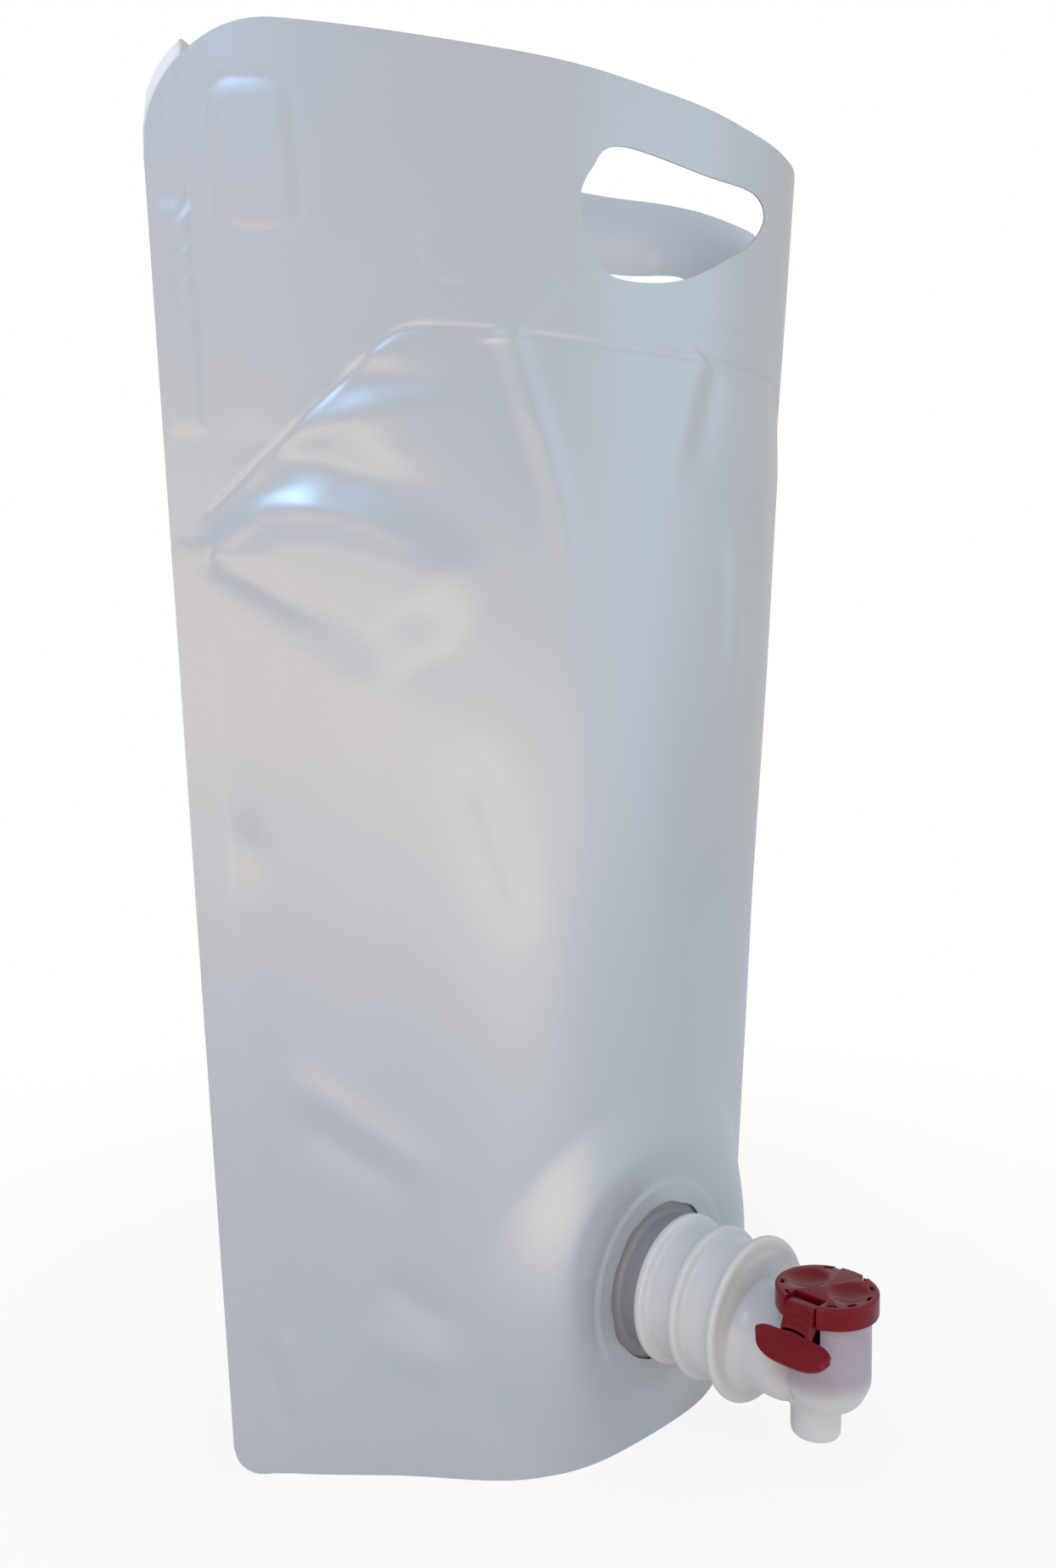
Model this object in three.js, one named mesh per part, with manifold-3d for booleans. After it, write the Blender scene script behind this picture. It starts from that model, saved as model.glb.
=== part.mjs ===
// A stand-up film pouch for liquids with a die-cut carry hole, a welded spout and a lever tap.
// Millimetres, +Z up. The pouch stands on its bottom edge, its left seam towards -X and its tap
// pointing along -Y. The origin ends up under the middle of the whole, at the resting surface.
import * as THREE from "three";
import { mergeVertices } from "three/addons/utils/BufferGeometryUtils.js";
import Module from "manifold-3d";

const wasm = await Module();
wasm.setup();

// Driving dimensions of the film bag.
const bagHeight = 410;
const bagWidth = 290;
const film = 1;
const sealGap = 0.3;
const sideSeal = 12;
const topCornerRadius = 38;
const backCornerRadius = 31;
const baseCornerRadius = 8;
const gussetLow = 9;
const gussetHigh = 62;

// How far the bag stands open: half its chord, the bow of the front film and the depth inside,
// with the turn and the place of the chord, at the top edge and at the base.
const openTop = { halfChord: 128.4, bow: 58, depth: 77, turn: -6.65, x: -12.9, y: -18 };
const openBase = { halfChord: 117.7, bow: 79, depth: 142, turn: 5.9, x: -1.1, y: 0 };

// The front film's bow in plan, as shares of the half chord and of the bow.
const topBowShape = [
  [-1, 0], [-0.74, 0.345], [-0.36, 0.73], [-0.1, 0.92], [0.15, 0.99],
  [0.36, 0.98], [0.56, 0.91], [0.72, 0.7], [1, 0],
];
const baseBowShape = [
  [-1, 0], [-0.76, 0.4], [-0.52, 0.84], [-0.2, 1], [0.1, 0.98],
  [0.42, 0.8], [0.7, 0.42], [1, 0],
];
// Where the bag is deepest, as a share of the half chord.
const deepestTop = -0.28;
const deepestBase = 0;

// Carry hole, measured along the film from its middle and down from the top edge.
const holeCentreX = 1.5;
// The back film's hole stands further along and lower, and its top corners are tighter.
const backHoleShift = { along: 24, down: 5 };
const cutReach = 16;
const holeOutline = [
  [-39.5, 40], [-35, 29.5], [-24.5, 20.5], [10, 20.5], [33, 18.5], [40, 24],
  [32, 34.5], [20, 42.5], [2, 53], [-15, 58.5], [-30, 59.5], [-36.5, 52],
];

// Spout: its centre, the weld flange inside the film, the neck and its two rings.
const spoutX = -8.3;
const spoutZ = 44.8;
const filmHoleRadius = 23.8;
const weldRadius = 29.2;
const weldThickness = 1.5;
const flatMargin = 8;
const flatFade = 18;
const neckRadius = 19.8;
const neckLength = 34.2;
const neckFootRadius = 20.6;
const ringRadius = 22.2;
const ringThickness = 2.6;
const ringPlaces = [8.8, 21.6];

// Tap: barrel in the neck, stop flange, upright chamber and nozzle.
const fit = 0.3;
const barrelRadius = 17.5;
const barrelWall = 1.7;
const barrelEntry = 29.5;
const throatRadius = 13.5;
const throatDrop = 5;
const stopFlangeRadius = 23.4;
const stopFlangeThickness = 2.6;
const chamberReach = 59;
const chamberRadius = 12.1;
const chamberWall = 1.5;
const chamberTop = 58.7;
const shoulderTop = 35;
const nozzleTop = 28.5;
const nozzleRadius = 6.9;
const nozzleBore = 5.9;
const nozzleEnd = 20;
const nozzleSetBack = 3.2;
const seatRadius = 3.9;
const seatThickness = 1.5;
const membraneZ = 43.5;
const membraneThickness = 1.4;
const membraneLedge = 1.1;

// Cap, with its notch for the lever.
const capRadius = 14.05;
const capTop = 62;
const capSkirt = 6;
const capPlate = 2.9;
const dishDepth = 1.4;
const dishRadius = 14;
const dishApart = 6.4;
const rimNotch = { half: 1.1, apart: 4.2, reach: 2.2, depth: 1.8 };
const notchHalf = 4.9;
const notchDepth = 6.2;

// Lever, its pin, its wing, and the plunger that it presses.
const pivotReach = 11.2;
const pivotZ = 57.9;
const pinRadius = 1.1;
const pinHalf = 6.2;
const leverHalf = 4.3;
const leverThickness = 2.3;
const armTipReach = 2.9;
const stemOut = 17.6;
const stemBottomZ = 51.2;
const wingHalf = 11.5;
const wingDepth = 8;
const wingThickness = 1.8;
const wingSlope = 42;
const plungerHeadRadius = 4.4;
const plungerHeadThickness = 1.6;
const rodRadius = 1.7;
const plugRadius = 4.9;
const plugThickness = 1.6;

// Mesh helpers: a geometry as a solid, facing out, and back.
function toSolid(geometry, matrix = new THREE.Matrix4()) {
  const bare = geometry.clone().applyMatrix4(matrix);
  bare.deleteAttribute("normal");
  bare.deleteAttribute("uv");
  const merged = mergeVertices(bare, 1e-4);
  const numbers = Array.from(merged.index.array);
  const position = merged.attributes.position;
  const corners = [];
  let volume = 0;
  for (let i = 0; i < numbers.length; i += 3) {
    const [a, b, c] = numbers.slice(i, i + 3);
    if (a === b || b === c || c === a) continue;
    corners.push(a, b, c);
    const p = new THREE.Vector3().fromBufferAttribute(position, a);
    const q = new THREE.Vector3().fromBufferAttribute(position, b);
    const r = new THREE.Vector3().fromBufferAttribute(position, c);
    volume += p.dot(q.cross(r));
  }
  if (volume < 0) corners.reverse();
  return new wasm.Manifold(new wasm.Mesh({
    numProp: 3,
    vertProperties: new Float32Array(position.array),
    triVerts: new Uint32Array(corners),
  }));
}

function toGeometry(solid) {
  const mesh = solid.getMesh();
  const geometry = new THREE.BufferGeometry();
  geometry.setAttribute("position", new THREE.BufferAttribute(mesh.vertProperties, 3));
  geometry.setIndex(new THREE.BufferAttribute(mesh.triVerts, 1));
  return geometry;
}

const lerp = THREE.MathUtils.lerp;
const radians = THREE.MathUtils.degToRad;

// Film surfaces. The front film is ruled between its bow at the base and its bow at the top edge.
function bowCurve(shape, open) {
  const turn = radians(open.turn);
  const points = shape.map(([along, out]) =>
    new THREE.Vector2(along * open.halfChord, -out * open.bow)
      .rotateAround(new THREE.Vector2(), turn)
      .add(new THREE.Vector2(open.x, open.y)));
  return new THREE.SplineCurve(points);
}
const baseBow = bowCurve(baseBowShape, openBase);
const topBow = bowCurve(topBowShape, openTop);

function ruledPoint(share, z) {
  const low = baseBow.getPointAt(share);
  const high = topBow.getPointAt(share);
  const t = z / bagHeight;
  return new THREE.Vector3(lerp(low.x, high.x, t), lerp(low.y, high.y, t), z);
}

// The share of the film's width at which the front film has a given x at a given height.
function shareAt(x, z) {
  let low = 0;
  let high = 1;
  for (let i = 0; i < 30; i++) {
    const middle = (low + high) / 2;
    if (ruledPoint(middle, z).x < x) low = middle;
    else high = middle;
  }
  return (low + high) / 2;
}
const spoutShare = shareAt(spoutX, spoutZ);
const spoutY = ruledPoint(spoutShare, spoutZ).y;

// The film lies flat round the spout's weld flange and fades back to its bow.
function frontPoint(share, z) {
  const point = ruledPoint(share, z);
  const away = Math.hypot(point.x - spoutX, z - spoutZ) - weldRadius - flatMargin;
  const bend = THREE.MathUtils.smoothstep(away, 0, flatFade);
  point.y = lerp(spoutY, point.y, bend);
  return point;
}

// How far inside the front film the back film lies, measured along the bag's own depth.
function depthAt(share, z) {
  const sealShare = sideSeal / bagWidth;
  if (share <= sealShare || share >= 1 - sealShare) return 0;
  const t = z / bagHeight;
  const deepest = 0.5 + lerp(deepestBase, deepestTop, t) / 2;
  const reach = share < deepest ? deepest - sealShare : 1 - sealShare - deepest;
  const away = (share - deepest) / reach;
  return lerp(openBase.depth, openTop.depth, t) * (1 - away * away);
}

function surfaceNormal(surface, share, z) {
  const step = 0.004;
  const across = surface(Math.min(1, share + step), z).sub(surface(Math.max(0, share - step), z));
  const up = surface(share, z + 1).sub(surface(share, z - 1));
  return across.cross(up).normalize();
}

function backPoint(share, z) {
  const point = ruledPoint(share, z);
  point.addScaledVector(surfaceNormal(ruledPoint, share, z), -sealGap);
  const turn = radians(lerp(openBase.turn, openTop.turn, z / bagHeight));
  const depth = depthAt(share, z);
  return point.add(new THREE.Vector3(-Math.sin(turn) * depth, Math.cos(turn) * depth, 0));
}

function frontFace(share, z, out) {
  return frontPoint(share, z).addScaledVector(surfaceNormal(frontPoint, share, z), out);
}

function backFace(share, z, out) {
  return backPoint(share, z).addScaledVector(surfaceNormal(backPoint, share, z), -out);
}

// The film's upper and lower edge, with its rounded corners.
function cornerDrop(share, radius) {
  const inset = Math.min(share, 1 - share) * bagWidth;
  if (inset >= radius) return 0;
  return radius - Math.sqrt(radius * radius - (radius - inset) ** 2);
}
const topEdge = (share, radius) => bagHeight - cornerDrop(share, radius);
const baseEdge = (share) => cornerDrop(share, baseCornerRadius);

// A closed sheet over a grid of places, each with a near and a far face.
function sheetSolid(columns, rows, place) {
  const positions = [];
  const index = [];
  for (const side of [0, 1])
    for (const u of columns)
      for (const v of rows) positions.push(...place(u, v, side).toArray());
  const face = columns.length * rows.length;
  const at = (side, i, j) => side * face + i * rows.length + j;
  const quad = (a, b, c, d) => index.push(a, b, c, a, c, d);
  const lastColumn = columns.length - 1;
  const lastRow = rows.length - 1;
  for (let i = 0; i < lastColumn; i++)
    for (let j = 0; j < lastRow; j++) {
      quad(at(1, i, j), at(1, i + 1, j), at(1, i + 1, j + 1), at(1, i, j + 1));
      quad(at(0, i, j), at(0, i, j + 1), at(0, i + 1, j + 1), at(0, i + 1, j));
    }
  for (let i = 0; i < lastColumn; i++) {
    quad(at(0, i, 0), at(0, i + 1, 0), at(1, i + 1, 0), at(1, i, 0));
    quad(at(0, i, lastRow), at(1, i, lastRow), at(1, i + 1, lastRow), at(0, i + 1, lastRow));
  }
  for (let j = 0; j < lastRow; j++) {
    quad(at(0, 0, j), at(1, 0, j), at(1, 0, j + 1), at(0, 0, j + 1));
    quad(at(0, lastColumn, j), at(0, lastColumn, j + 1), at(1, lastColumn, j + 1), at(1, lastColumn, j));
  }
  const geometry = new THREE.BufferGeometry();
  geometry.setAttribute("position", new THREE.Float32BufferAttribute(positions, 3));
  geometry.setIndex(index);
  return toSolid(geometry);
}

// Grid lines across the film: close together in the rounded corners, with one on each seal's edge.
function filmColumns() {
  const seal = sideSeal / bagWidth;
  const corner = topCornerRadius / bagWidth;
  const left = [0, 0.25, 0.55].map((part) => part * seal);
  for (let i = 0; i <= 3; i++) left.push(lerp(seal, corner, i / 4));
  const columns = [...left];
  const middleSteps = 26;
  for (let i = 0; i <= middleSteps; i++) columns.push(lerp(corner, 1 - corner, i / middleSteps));
  return [...columns, ...left.reverse().map((share) => 1 - share)];
}

// Grid lines up the film: close together where the spout flattens it.
function filmRows() {
  const rows = [];
  const spoutTop = (spoutZ + weldRadius + flatMargin + flatFade) / bagHeight;
  for (let i = 0; i < 9; i++) rows.push(lerp(0, spoutTop, i / 9));
  for (let i = 0; i <= 6; i++) rows.push(lerp(spoutTop, 1, i / 6));
  return rows;
}

function filmSheet(faceOf, corner) {
  return sheetSolid(filmColumns(), filmRows(), (share, row, side) =>
    faceOf(share, lerp(baseEdge(share), topEdge(share, corner), row), side * film));
}

// A cutter that goes through a film square to it, from an outline in the film's own plane.
function filmCutter(outline, faceOf, reach) {
  const shape = new THREE.Shape(outline);
  const block = new THREE.ExtrudeGeometry(shape, { depth: 2 * reach, bevelEnabled: false, steps: 1 });
  const position = block.attributes.position;
  for (let i = 0; i < position.count; i++) {
    const share = position.getX(i);
    const point = faceOf(share, position.getY(i), position.getZ(i) - reach);
    position.setXYZ(i, point.x, point.y, point.z);
  }
  return toSolid(block);
}

function carryHoleOutline(shift = { along: 0, down: 0 }) {
  const middle = shareAt(holeCentreX, bagHeight) + shift.along / bagWidth;
  const points = holeOutline.map(([along, down]) =>
    new THREE.Vector2(middle + along / bagWidth, bagHeight - down - shift.down));
  const outline = new THREE.CatmullRomCurve3(
    points.map((p) => new THREE.Vector3(p.x * bagWidth, p.y, 0)), true, "centripetal");
  return outline.getSpacedPoints(40).slice(0, -1).map((p) => new THREE.Vector2(p.x / bagWidth, p.y));
}

function frontFilm() {
  const spoutCut = new THREE.CylinderGeometry(filmHoleRadius, filmHoleRadius, cutReach, 48);
  return filmSheet(frontFace, topCornerRadius)
    .subtract(filmCutter(carryHoleOutline(), frontFace, cutReach))
    .subtract(toSolid(spoutCut, new THREE.Matrix4().makeTranslation(spoutX, spoutY, spoutZ)));
}

function backFilm() {
  return filmSheet(backFace, backCornerRadius)
    .subtract(filmCutter(carryHoleOutline(backHoleShift), backFace, cutReach));
}

// The base gusset: a film that spans from front to back and climbs towards both seams.
function baseFilm() {
  const seal = sideSeal / bagWidth;
  const tuck = 0.03;
  const columns = [];
  const steps = 30;
  for (let i = 0; i <= steps; i++) columns.push(lerp(seal + tuck, 1 - seal - tuck, i / steps));
  const rows = [0, 0.25, 0.5, 0.75, 1];
  return sheetSolid(columns, rows, (share, row, side) => {
    const away = Math.abs(share - 0.5) / (0.5 - seal);
    const z = lerp(gussetLow, gussetHigh, away ** 4) + side * film;
    return frontFace(share, z, -sealGap).lerp(backFace(share, z, -sealGap), row);
  });
}

// Pieces turned about the spout's axis. A place along it is counted outwards from the film.
function spoutLathe(profile, segments = 48, drop = 0) {
  const points = profile.map(([radius, out]) => new THREE.Vector2(radius, -out));
  const geometry = new THREE.LatheGeometry([...points, points[0]], segments);
  return toSolid(geometry, new THREE.Matrix4().makeTranslation(spoutX, spoutY, spoutZ - drop));
}

function gland() {
  const bore = barrelRadius + fit;
  const profile = [[bore, -sealGap - weldThickness], [weldRadius, -sealGap - weldThickness],
    [weldRadius, -sealGap], [neckFootRadius, -sealGap], [neckFootRadius, film + 1], [neckRadius, film + 2]];
  for (const place of ringPlaces) {
    const half = ringThickness / 2;
    profile.push([neckRadius, place - half - 1], [ringRadius - 0.5, place - half], [ringRadius, place]);
    profile.push([ringRadius - 0.5, place + half], [neckRadius, place + half + 0.6]);
  }
  profile.push([neckRadius, neckLength], [bore, neckLength]);
  return spoutLathe(profile);
}

// Pieces turned about the chamber's upright axis.
const chamberY = spoutY - chamberReach;
function uprightLathe(profile, segments = 40, offsetY = 0) {
  const points = profile.map(([radius, z]) => new THREE.Vector2(radius, z));
  const upright = new THREE.Matrix4().makeRotationX(Math.PI / 2);
  const place = new THREE.Matrix4().makeTranslation(spoutX, chamberY + offsetY, 0);
  return toSolid(new THREE.LatheGeometry([...points, points[0]], segments), place.multiply(upright));
}

function blockSolid(x0, x1, y0, y1, z0, z1) {
  const box = new THREE.BoxGeometry(x1 - x0, y1 - y0, z1 - z0);
  const place = new THREE.Matrix4().makeTranslation(
    spoutX + (x0 + x1) / 2, chamberY + (y0 + y1) / 2, (z0 + z1) / 2);
  return toSolid(box, place);
}

function pinSolid(radius, half) {
  const place = new THREE.Matrix4().makeTranslation(spoutX - pivotReach, chamberY, pivotZ);
  return toSolid(new THREE.CylinderGeometry(radius, radius, 2 * half, 20), place);
}

function tapBody() {
  const flangeStart = neckLength + fit;
  const flangeEnd = flangeStart + stopFlangeThickness;
  const throatEnd = chamberReach - 4;
  const barrel = spoutLathe([[0, flangeStart - barrelEntry], [barrelRadius, flangeStart - barrelEntry],
    [barrelRadius, flangeStart], [stopFlangeRadius - 0.6, flangeStart],
    [stopFlangeRadius, flangeStart + 0.7], [stopFlangeRadius, flangeEnd - 0.5],
    [stopFlangeRadius - 0.8, flangeEnd], [0, flangeEnd]]);
  const throat = spoutLathe([[0, flangeEnd - 1], [throatRadius + 1.5, flangeEnd - 1],
    [throatRadius + 1.5, flangeEnd], [throatRadius, flangeEnd + 2], [throatRadius, throatEnd - 6],
    [throatRadius - 2.5, throatEnd - 2], [throatRadius - 7, throatEnd], [0, throatEnd]], 40, throatDrop);
  const chamber = uprightLathe([[0, shoulderTop - 5], [nozzleRadius + 1, shoulderTop - 5],
    [chamberRadius - 2, shoulderTop - 2.6], [chamberRadius, shoulderTop + 1],
    [chamberRadius, chamberTop], [0, chamberTop]]);
  const nozzle = uprightLathe([[0, nozzleEnd], [nozzleRadius - 0.7, nozzleEnd],
    [nozzleRadius, nozzleEnd + 0.9], [nozzleRadius, nozzleTop],
    [nozzleRadius + 2.5, shoulderTop - 3], [0, shoulderTop - 1]], 32, nozzleSetBack);
  const boreRadius = barrelRadius - barrelWall;
  const barrelBore = spoutLathe([[0, 0], [boreRadius, 0], [boreRadius, flangeStart - 4],
    [throatRadius - barrelWall, flangeEnd - 1], [0, flangeEnd - 1]]);
  const throatBore = spoutLathe([[0, flangeStart - 3], [throatRadius - barrelWall - 3, flangeStart - 3],
    [throatRadius - barrelWall, flangeEnd - 1], [throatRadius - barrelWall, throatEnd - 8],
    [throatRadius - barrelWall - 4, throatEnd - 3], [0, throatEnd - 3]], 40, throatDrop);
  const innerRadius = chamberRadius - chamberWall;
  const floorZ = nozzleTop + 3;
  const dryBore = uprightLathe([[0, membraneZ], [innerRadius, membraneZ], [innerRadius, chamberTop + 1],
    [0, chamberTop + 1]]);
  const wetRadius = innerRadius - membraneLedge;
  const seatTop = floorZ + seatThickness;
  const wetBore = uprightLathe([[0, seatTop], [wetRadius - 1, seatTop], [wetRadius, seatTop + 2],
    [wetRadius, membraneZ + 1], [0, membraneZ + 1]]);
  const outlet = uprightLathe([[0, nozzleEnd - 1], [nozzleBore, nozzleEnd - 1], [nozzleBore, floorZ],
    [0, floorZ]], 32, nozzleSetBack);
  const seat = uprightLathe([[0, floorZ - 1], [seatRadius, floorZ - 1], [seatRadius, floorZ + 3],
    [0, floorZ + 3]], 24, nozzleSetBack);
  const roof = membraneZ - 0.5;
  const wide = pinHalf + 0.7;
  const slot = blockSolid(-chamberRadius - 6, -6, -notchHalf, notchHalf, roof + 3, chamberTop + 1);
  const upperSlot = blockSolid(-chamberRadius - 6, -6, -wide, wide, capTop - capSkirt, chamberTop + 1);
  const ceiling = blockSolid(-barrelRadius, barrelRadius, -barrelRadius, chamberRadius, roof - 1, capTop);
  return barrel.add(throat).add(chamber).add(nozzle).subtract(barrelBore)
    .subtract(throatBore.subtract(ceiling)).subtract(dryBore)
    .subtract(wetBore).subtract(outlet).subtract(seat).subtract(slot).subtract(upperSlot);
}

function membrane() {
  const outer = chamberRadius - chamberWall - fit;
  const inner = rodRadius + fit;
  const low = membraneZ + fit;
  const high = low + membraneThickness;
  const rodHole = uprightLathe([[0, low - 1], [inner, low - 1], [inner, high + 1], [0, high + 1]],
    24, nozzleSetBack);
  return uprightLathe([[0, low], [outer, low], [outer, high], [0, high]]).subtract(rodHole);
}

// The plunger stands over the seat, which sits back from the chamber's axis with the nozzle.
const armTipBottom = pivotZ - 0.9 - leverThickness / 2;
function plunger() {
  const headTop = armTipBottom - fit;
  const plugTop = nozzleTop + 3 - fit;
  return uprightLathe([[0, plugTop - plugThickness], [plugRadius - 0.4, plugTop - plugThickness],
    [plugRadius, plugTop - plugThickness + 0.4], [plugRadius, plugTop], [rodRadius, plugTop],
    [rodRadius, headTop - plungerHeadThickness], [plungerHeadRadius, headTop - plungerHeadThickness],
    [plungerHeadRadius, headTop], [0, headTop]], 28, nozzleSetBack);
}

function cap() {
  const low = capTop - capSkirt;
  const plateLow = capTop - capPlate;
  const inner = chamberRadius + fit;
  const shell = uprightLathe([[0, plateLow], [inner, plateLow], [inner, low], [capRadius - 0.3, low],
    [capRadius, low + 0.4], [capRadius, capTop - 0.8], [capRadius - 0.8, capTop], [0, capTop]], 56);
  const earOuter = pinHalf + 0.3;
  const earIn = pivotReach - 1.9;
  const earOut = pivotReach + 1.4;
  let solid = shell;
  for (const side of [-1, 1]) {
    const near = Math.min(side * notchHalf, side * earOuter);
    const far = Math.max(side * notchHalf, side * earOuter);
    solid = solid.add(blockSolid(-earOut, -earIn, near, far, low + 0.4, plateLow + 0.5));
  }
  solid = solid.subtract(pinSolid(pinRadius + fit, pinHalf + fit / 2));
  solid = solid.subtract(blockSolid(-capRadius - 1, -capRadius + notchDepth, -notchHalf, notchHalf,
    low - 1, capTop + 1));
  const dish = new THREE.SphereGeometry(dishRadius, 32, 20);
  for (const side of [-1, 1]) {
    const place = new THREE.Matrix4().makeTranslation(
      spoutX + 0.8, chamberY + side * dishApart, capTop + dishRadius - dishDepth);
    solid = solid.subtract(toSolid(dish, place));
  }
  for (const side of [-1, 1]) {
    const at = side * rimNotch.apart;
    solid = solid.subtract(blockSolid(capRadius - rimNotch.reach, capRadius + 1,
      at - rimNotch.half, at + rimNotch.half, capTop - rimNotch.depth, capTop + 1));
  }
  return solid;
}

// The lever: a side profile for its stem and inner arm, a pin, grip ribs and a wing.
function lever() {
  const half = leverThickness / 2;
  const x = (reach) => spoutX - reach;
  const outline = [[x(pivotReach + 2.2), capTop - 0.7], [x(stemOut), stemBottomZ],
    [x(stemOut - 2), stemBottomZ - 1], [x(pivotReach + 0.3), pivotZ - 2.2],
    [x(pivotReach - 1), armTipBottom + 0.2], [x(armTipReach), armTipBottom],
    [x(armTipReach - half), armTipBottom + half], [x(armTipReach), armTipBottom + leverThickness],
    [x(pivotReach - 1.4), pivotZ + 0.9], [x(pivotReach - 0.9), capTop - 0.7]];
  const shape = new THREE.Shape(outline.map(([px, pz]) => new THREE.Vector2(px, pz)));
  const side = new THREE.ExtrudeGeometry(shape, { depth: 2 * leverHalf, bevelEnabled: false });
  const stand = new THREE.Matrix4().makeRotationX(Math.PI / 2);
  const place = new THREE.Matrix4().makeTranslation(0, chamberY + leverHalf, 0);
  let solid = toSolid(side, place.multiply(stand)).add(pinSolid(pinRadius, pinHalf));
  const top = new THREE.Vector3(spoutX - pivotReach - 2.2, chamberY, capTop - 0.7);
  const foot = new THREE.Vector3(spoutX - stemOut, chamberY, stemBottomZ);
  const ribCount = 5;
  for (let i = 0; i < ribCount; i++) {
    const at = new THREE.Vector3().lerpVectors(top, foot, (i + 1) / (ribCount + 1));
    const rib = new THREE.CylinderGeometry(0.5, 0.5, 2 * leverHalf - 1.2, 8);
    solid = solid.add(toSolid(rib, new THREE.Matrix4().makeTranslation(at.x, at.y, at.z)));
  }
  return solid.add(leverWing());
}

function leverWing() {
  const shape = new THREE.Shape();
  shape.moveTo(-wingHalf + 2.5, 0);
  shape.lineTo(wingHalf - 2.5, 0);
  shape.quadraticCurveTo(wingHalf + 0.6, 0.8, wingHalf - 0.4, 3.2);
  shape.quadraticCurveTo(wingHalf - 5, wingDepth, 0, wingDepth);
  shape.quadraticCurveTo(-wingHalf + 5, wingDepth, -wingHalf + 0.4, 3.2);
  shape.quadraticCurveTo(-wingHalf - 0.6, 0.8, -wingHalf + 2.5, 0);
  const extent = { depth: wingThickness, bevelEnabled: false, curveSegments: 6 };
  const plate = new THREE.ExtrudeGeometry(shape, extent);
  const slope = radians(wingSlope);
  const along = new THREE.Vector3(0, 1, 0);
  const out = new THREE.Vector3(-Math.cos(slope), 0, -Math.sin(slope));
  const up = new THREE.Vector3().crossVectors(along, out);
  const place = new THREE.Matrix4().makeBasis(along, out, up)
    .setPosition(spoutX - stemOut + 3, chamberY, stemBottomZ + 1.4);
  return toSolid(plate, place);
}

const filmMaterial = new THREE.MeshStandardMaterial({ color: 0xd9dbde, roughness: 0.35, metalness: 0.1 });
const naturalPlastic = new THREE.MeshStandardMaterial({ color: 0xdcd9d4, roughness: 0.4, metalness: 0 });
const redPlastic = new THREE.MeshStandardMaterial({ color: 0x8c1420, roughness: 0.35, metalness: 0 });
const softRubber = new THREE.MeshStandardMaterial({ color: 0xc9c4bd, roughness: 0.6, metalness: 0 });

const pieces = [
  ["film_front", frontFilm, filmMaterial],
  ["film_back", backFilm, filmMaterial],
  ["film_base", baseFilm, filmMaterial],
  ["gland", gland, naturalPlastic],
  ["tap_body", tapBody, naturalPlastic],
  ["tap_membrane", membrane, softRubber],
  ["tap_plunger", plunger, redPlastic],
  ["tap_cap", cap, redPlastic],
  ["tap_lever", lever, redPlastic],
];

const pouch = new THREE.Group();
for (const [name, make, material] of pieces) {
  const mesh = new THREE.Mesh(toGeometry(make()), material);
  mesh.name = name;
  pouch.add(mesh);
}
const bounds = new THREE.Box3().setFromObject(pouch);
const centre = bounds.getCenter(new THREE.Vector3());
pouch.position.set(-centre.x, -centre.y, -bounds.min.z);

export default pouch;
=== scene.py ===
import math

import bmesh
import bpy
import numpy as np
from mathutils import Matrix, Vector


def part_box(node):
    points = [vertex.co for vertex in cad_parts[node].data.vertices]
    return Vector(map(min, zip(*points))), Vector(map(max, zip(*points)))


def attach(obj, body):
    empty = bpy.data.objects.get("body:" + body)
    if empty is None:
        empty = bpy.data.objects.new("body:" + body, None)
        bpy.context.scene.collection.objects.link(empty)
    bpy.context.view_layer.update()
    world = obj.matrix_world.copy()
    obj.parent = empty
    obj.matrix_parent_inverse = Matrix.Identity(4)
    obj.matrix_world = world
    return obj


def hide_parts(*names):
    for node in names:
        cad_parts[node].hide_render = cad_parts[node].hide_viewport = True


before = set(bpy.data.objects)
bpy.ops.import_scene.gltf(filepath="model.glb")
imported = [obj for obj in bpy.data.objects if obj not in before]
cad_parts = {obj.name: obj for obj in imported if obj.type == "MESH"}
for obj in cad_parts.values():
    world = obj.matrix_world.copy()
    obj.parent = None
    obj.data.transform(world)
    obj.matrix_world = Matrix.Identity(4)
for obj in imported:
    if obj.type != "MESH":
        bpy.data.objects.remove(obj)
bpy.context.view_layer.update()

# Stand-up film pouch with a carry hole, a welded spout and a lever tap.
# Shapes are worked out in millimetres in the pouch's own place and moved to the frame by toFrame.
scene = bpy.context.scene

bag = {
    "height": 410, "width": 290, "film": 1.0, "sealGap": 0.3, "sideSeal": 12,
    "topCorner": 38, "backCorner": 31, "baseCorner": 8, "gussetLow": 9, "gussetHigh": 62,
    "top": {"halfChord": 128.4, "bow": 58, "depth": 77, "turn": -6.65, "x": -12.9, "y": -18,
            "deepest": -0.28},
    "base": {"halfChord": 117.7, "bow": 79, "depth": 142, "turn": 5.9, "x": -1.1, "y": 0,
             "deepest": 0},
    "topShape": [(-1, 0), (-0.74, 0.345), (-0.36, 0.73), (-0.1, 0.92), (0.15, 0.99),
                 (0.36, 0.98), (0.56, 0.91), (0.72, 0.7), (1, 0)],
    "baseShape": [(-1, 0), (-0.76, 0.4), (-0.52, 0.84), (-0.2, 1), (0.1, 0.98),
                  (0.42, 0.8), (0.7, 0.42), (1, 0)],
    "skin": 0.35,    # shown thickness of the laminate
    "cell": 0.9,    # mesh step on the front film
}

spout = {
    "x": -8.3, "z": 44.8, "holeRadius": 23.8, "weldRadius": 29.2, "weldThickness": 1.5,
    "flatMargin": 4, "flatFade": 30, "neckRadius": 19.8, "neckLength": 34.2, "footRadius": 20.6,
    "ringRadius": 22.2, "ringThickness": 2.6, "ringPlaces": (8.8, 21.6),
}


def lerp(a, b, t):
    return a + (b - a) * t


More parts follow.
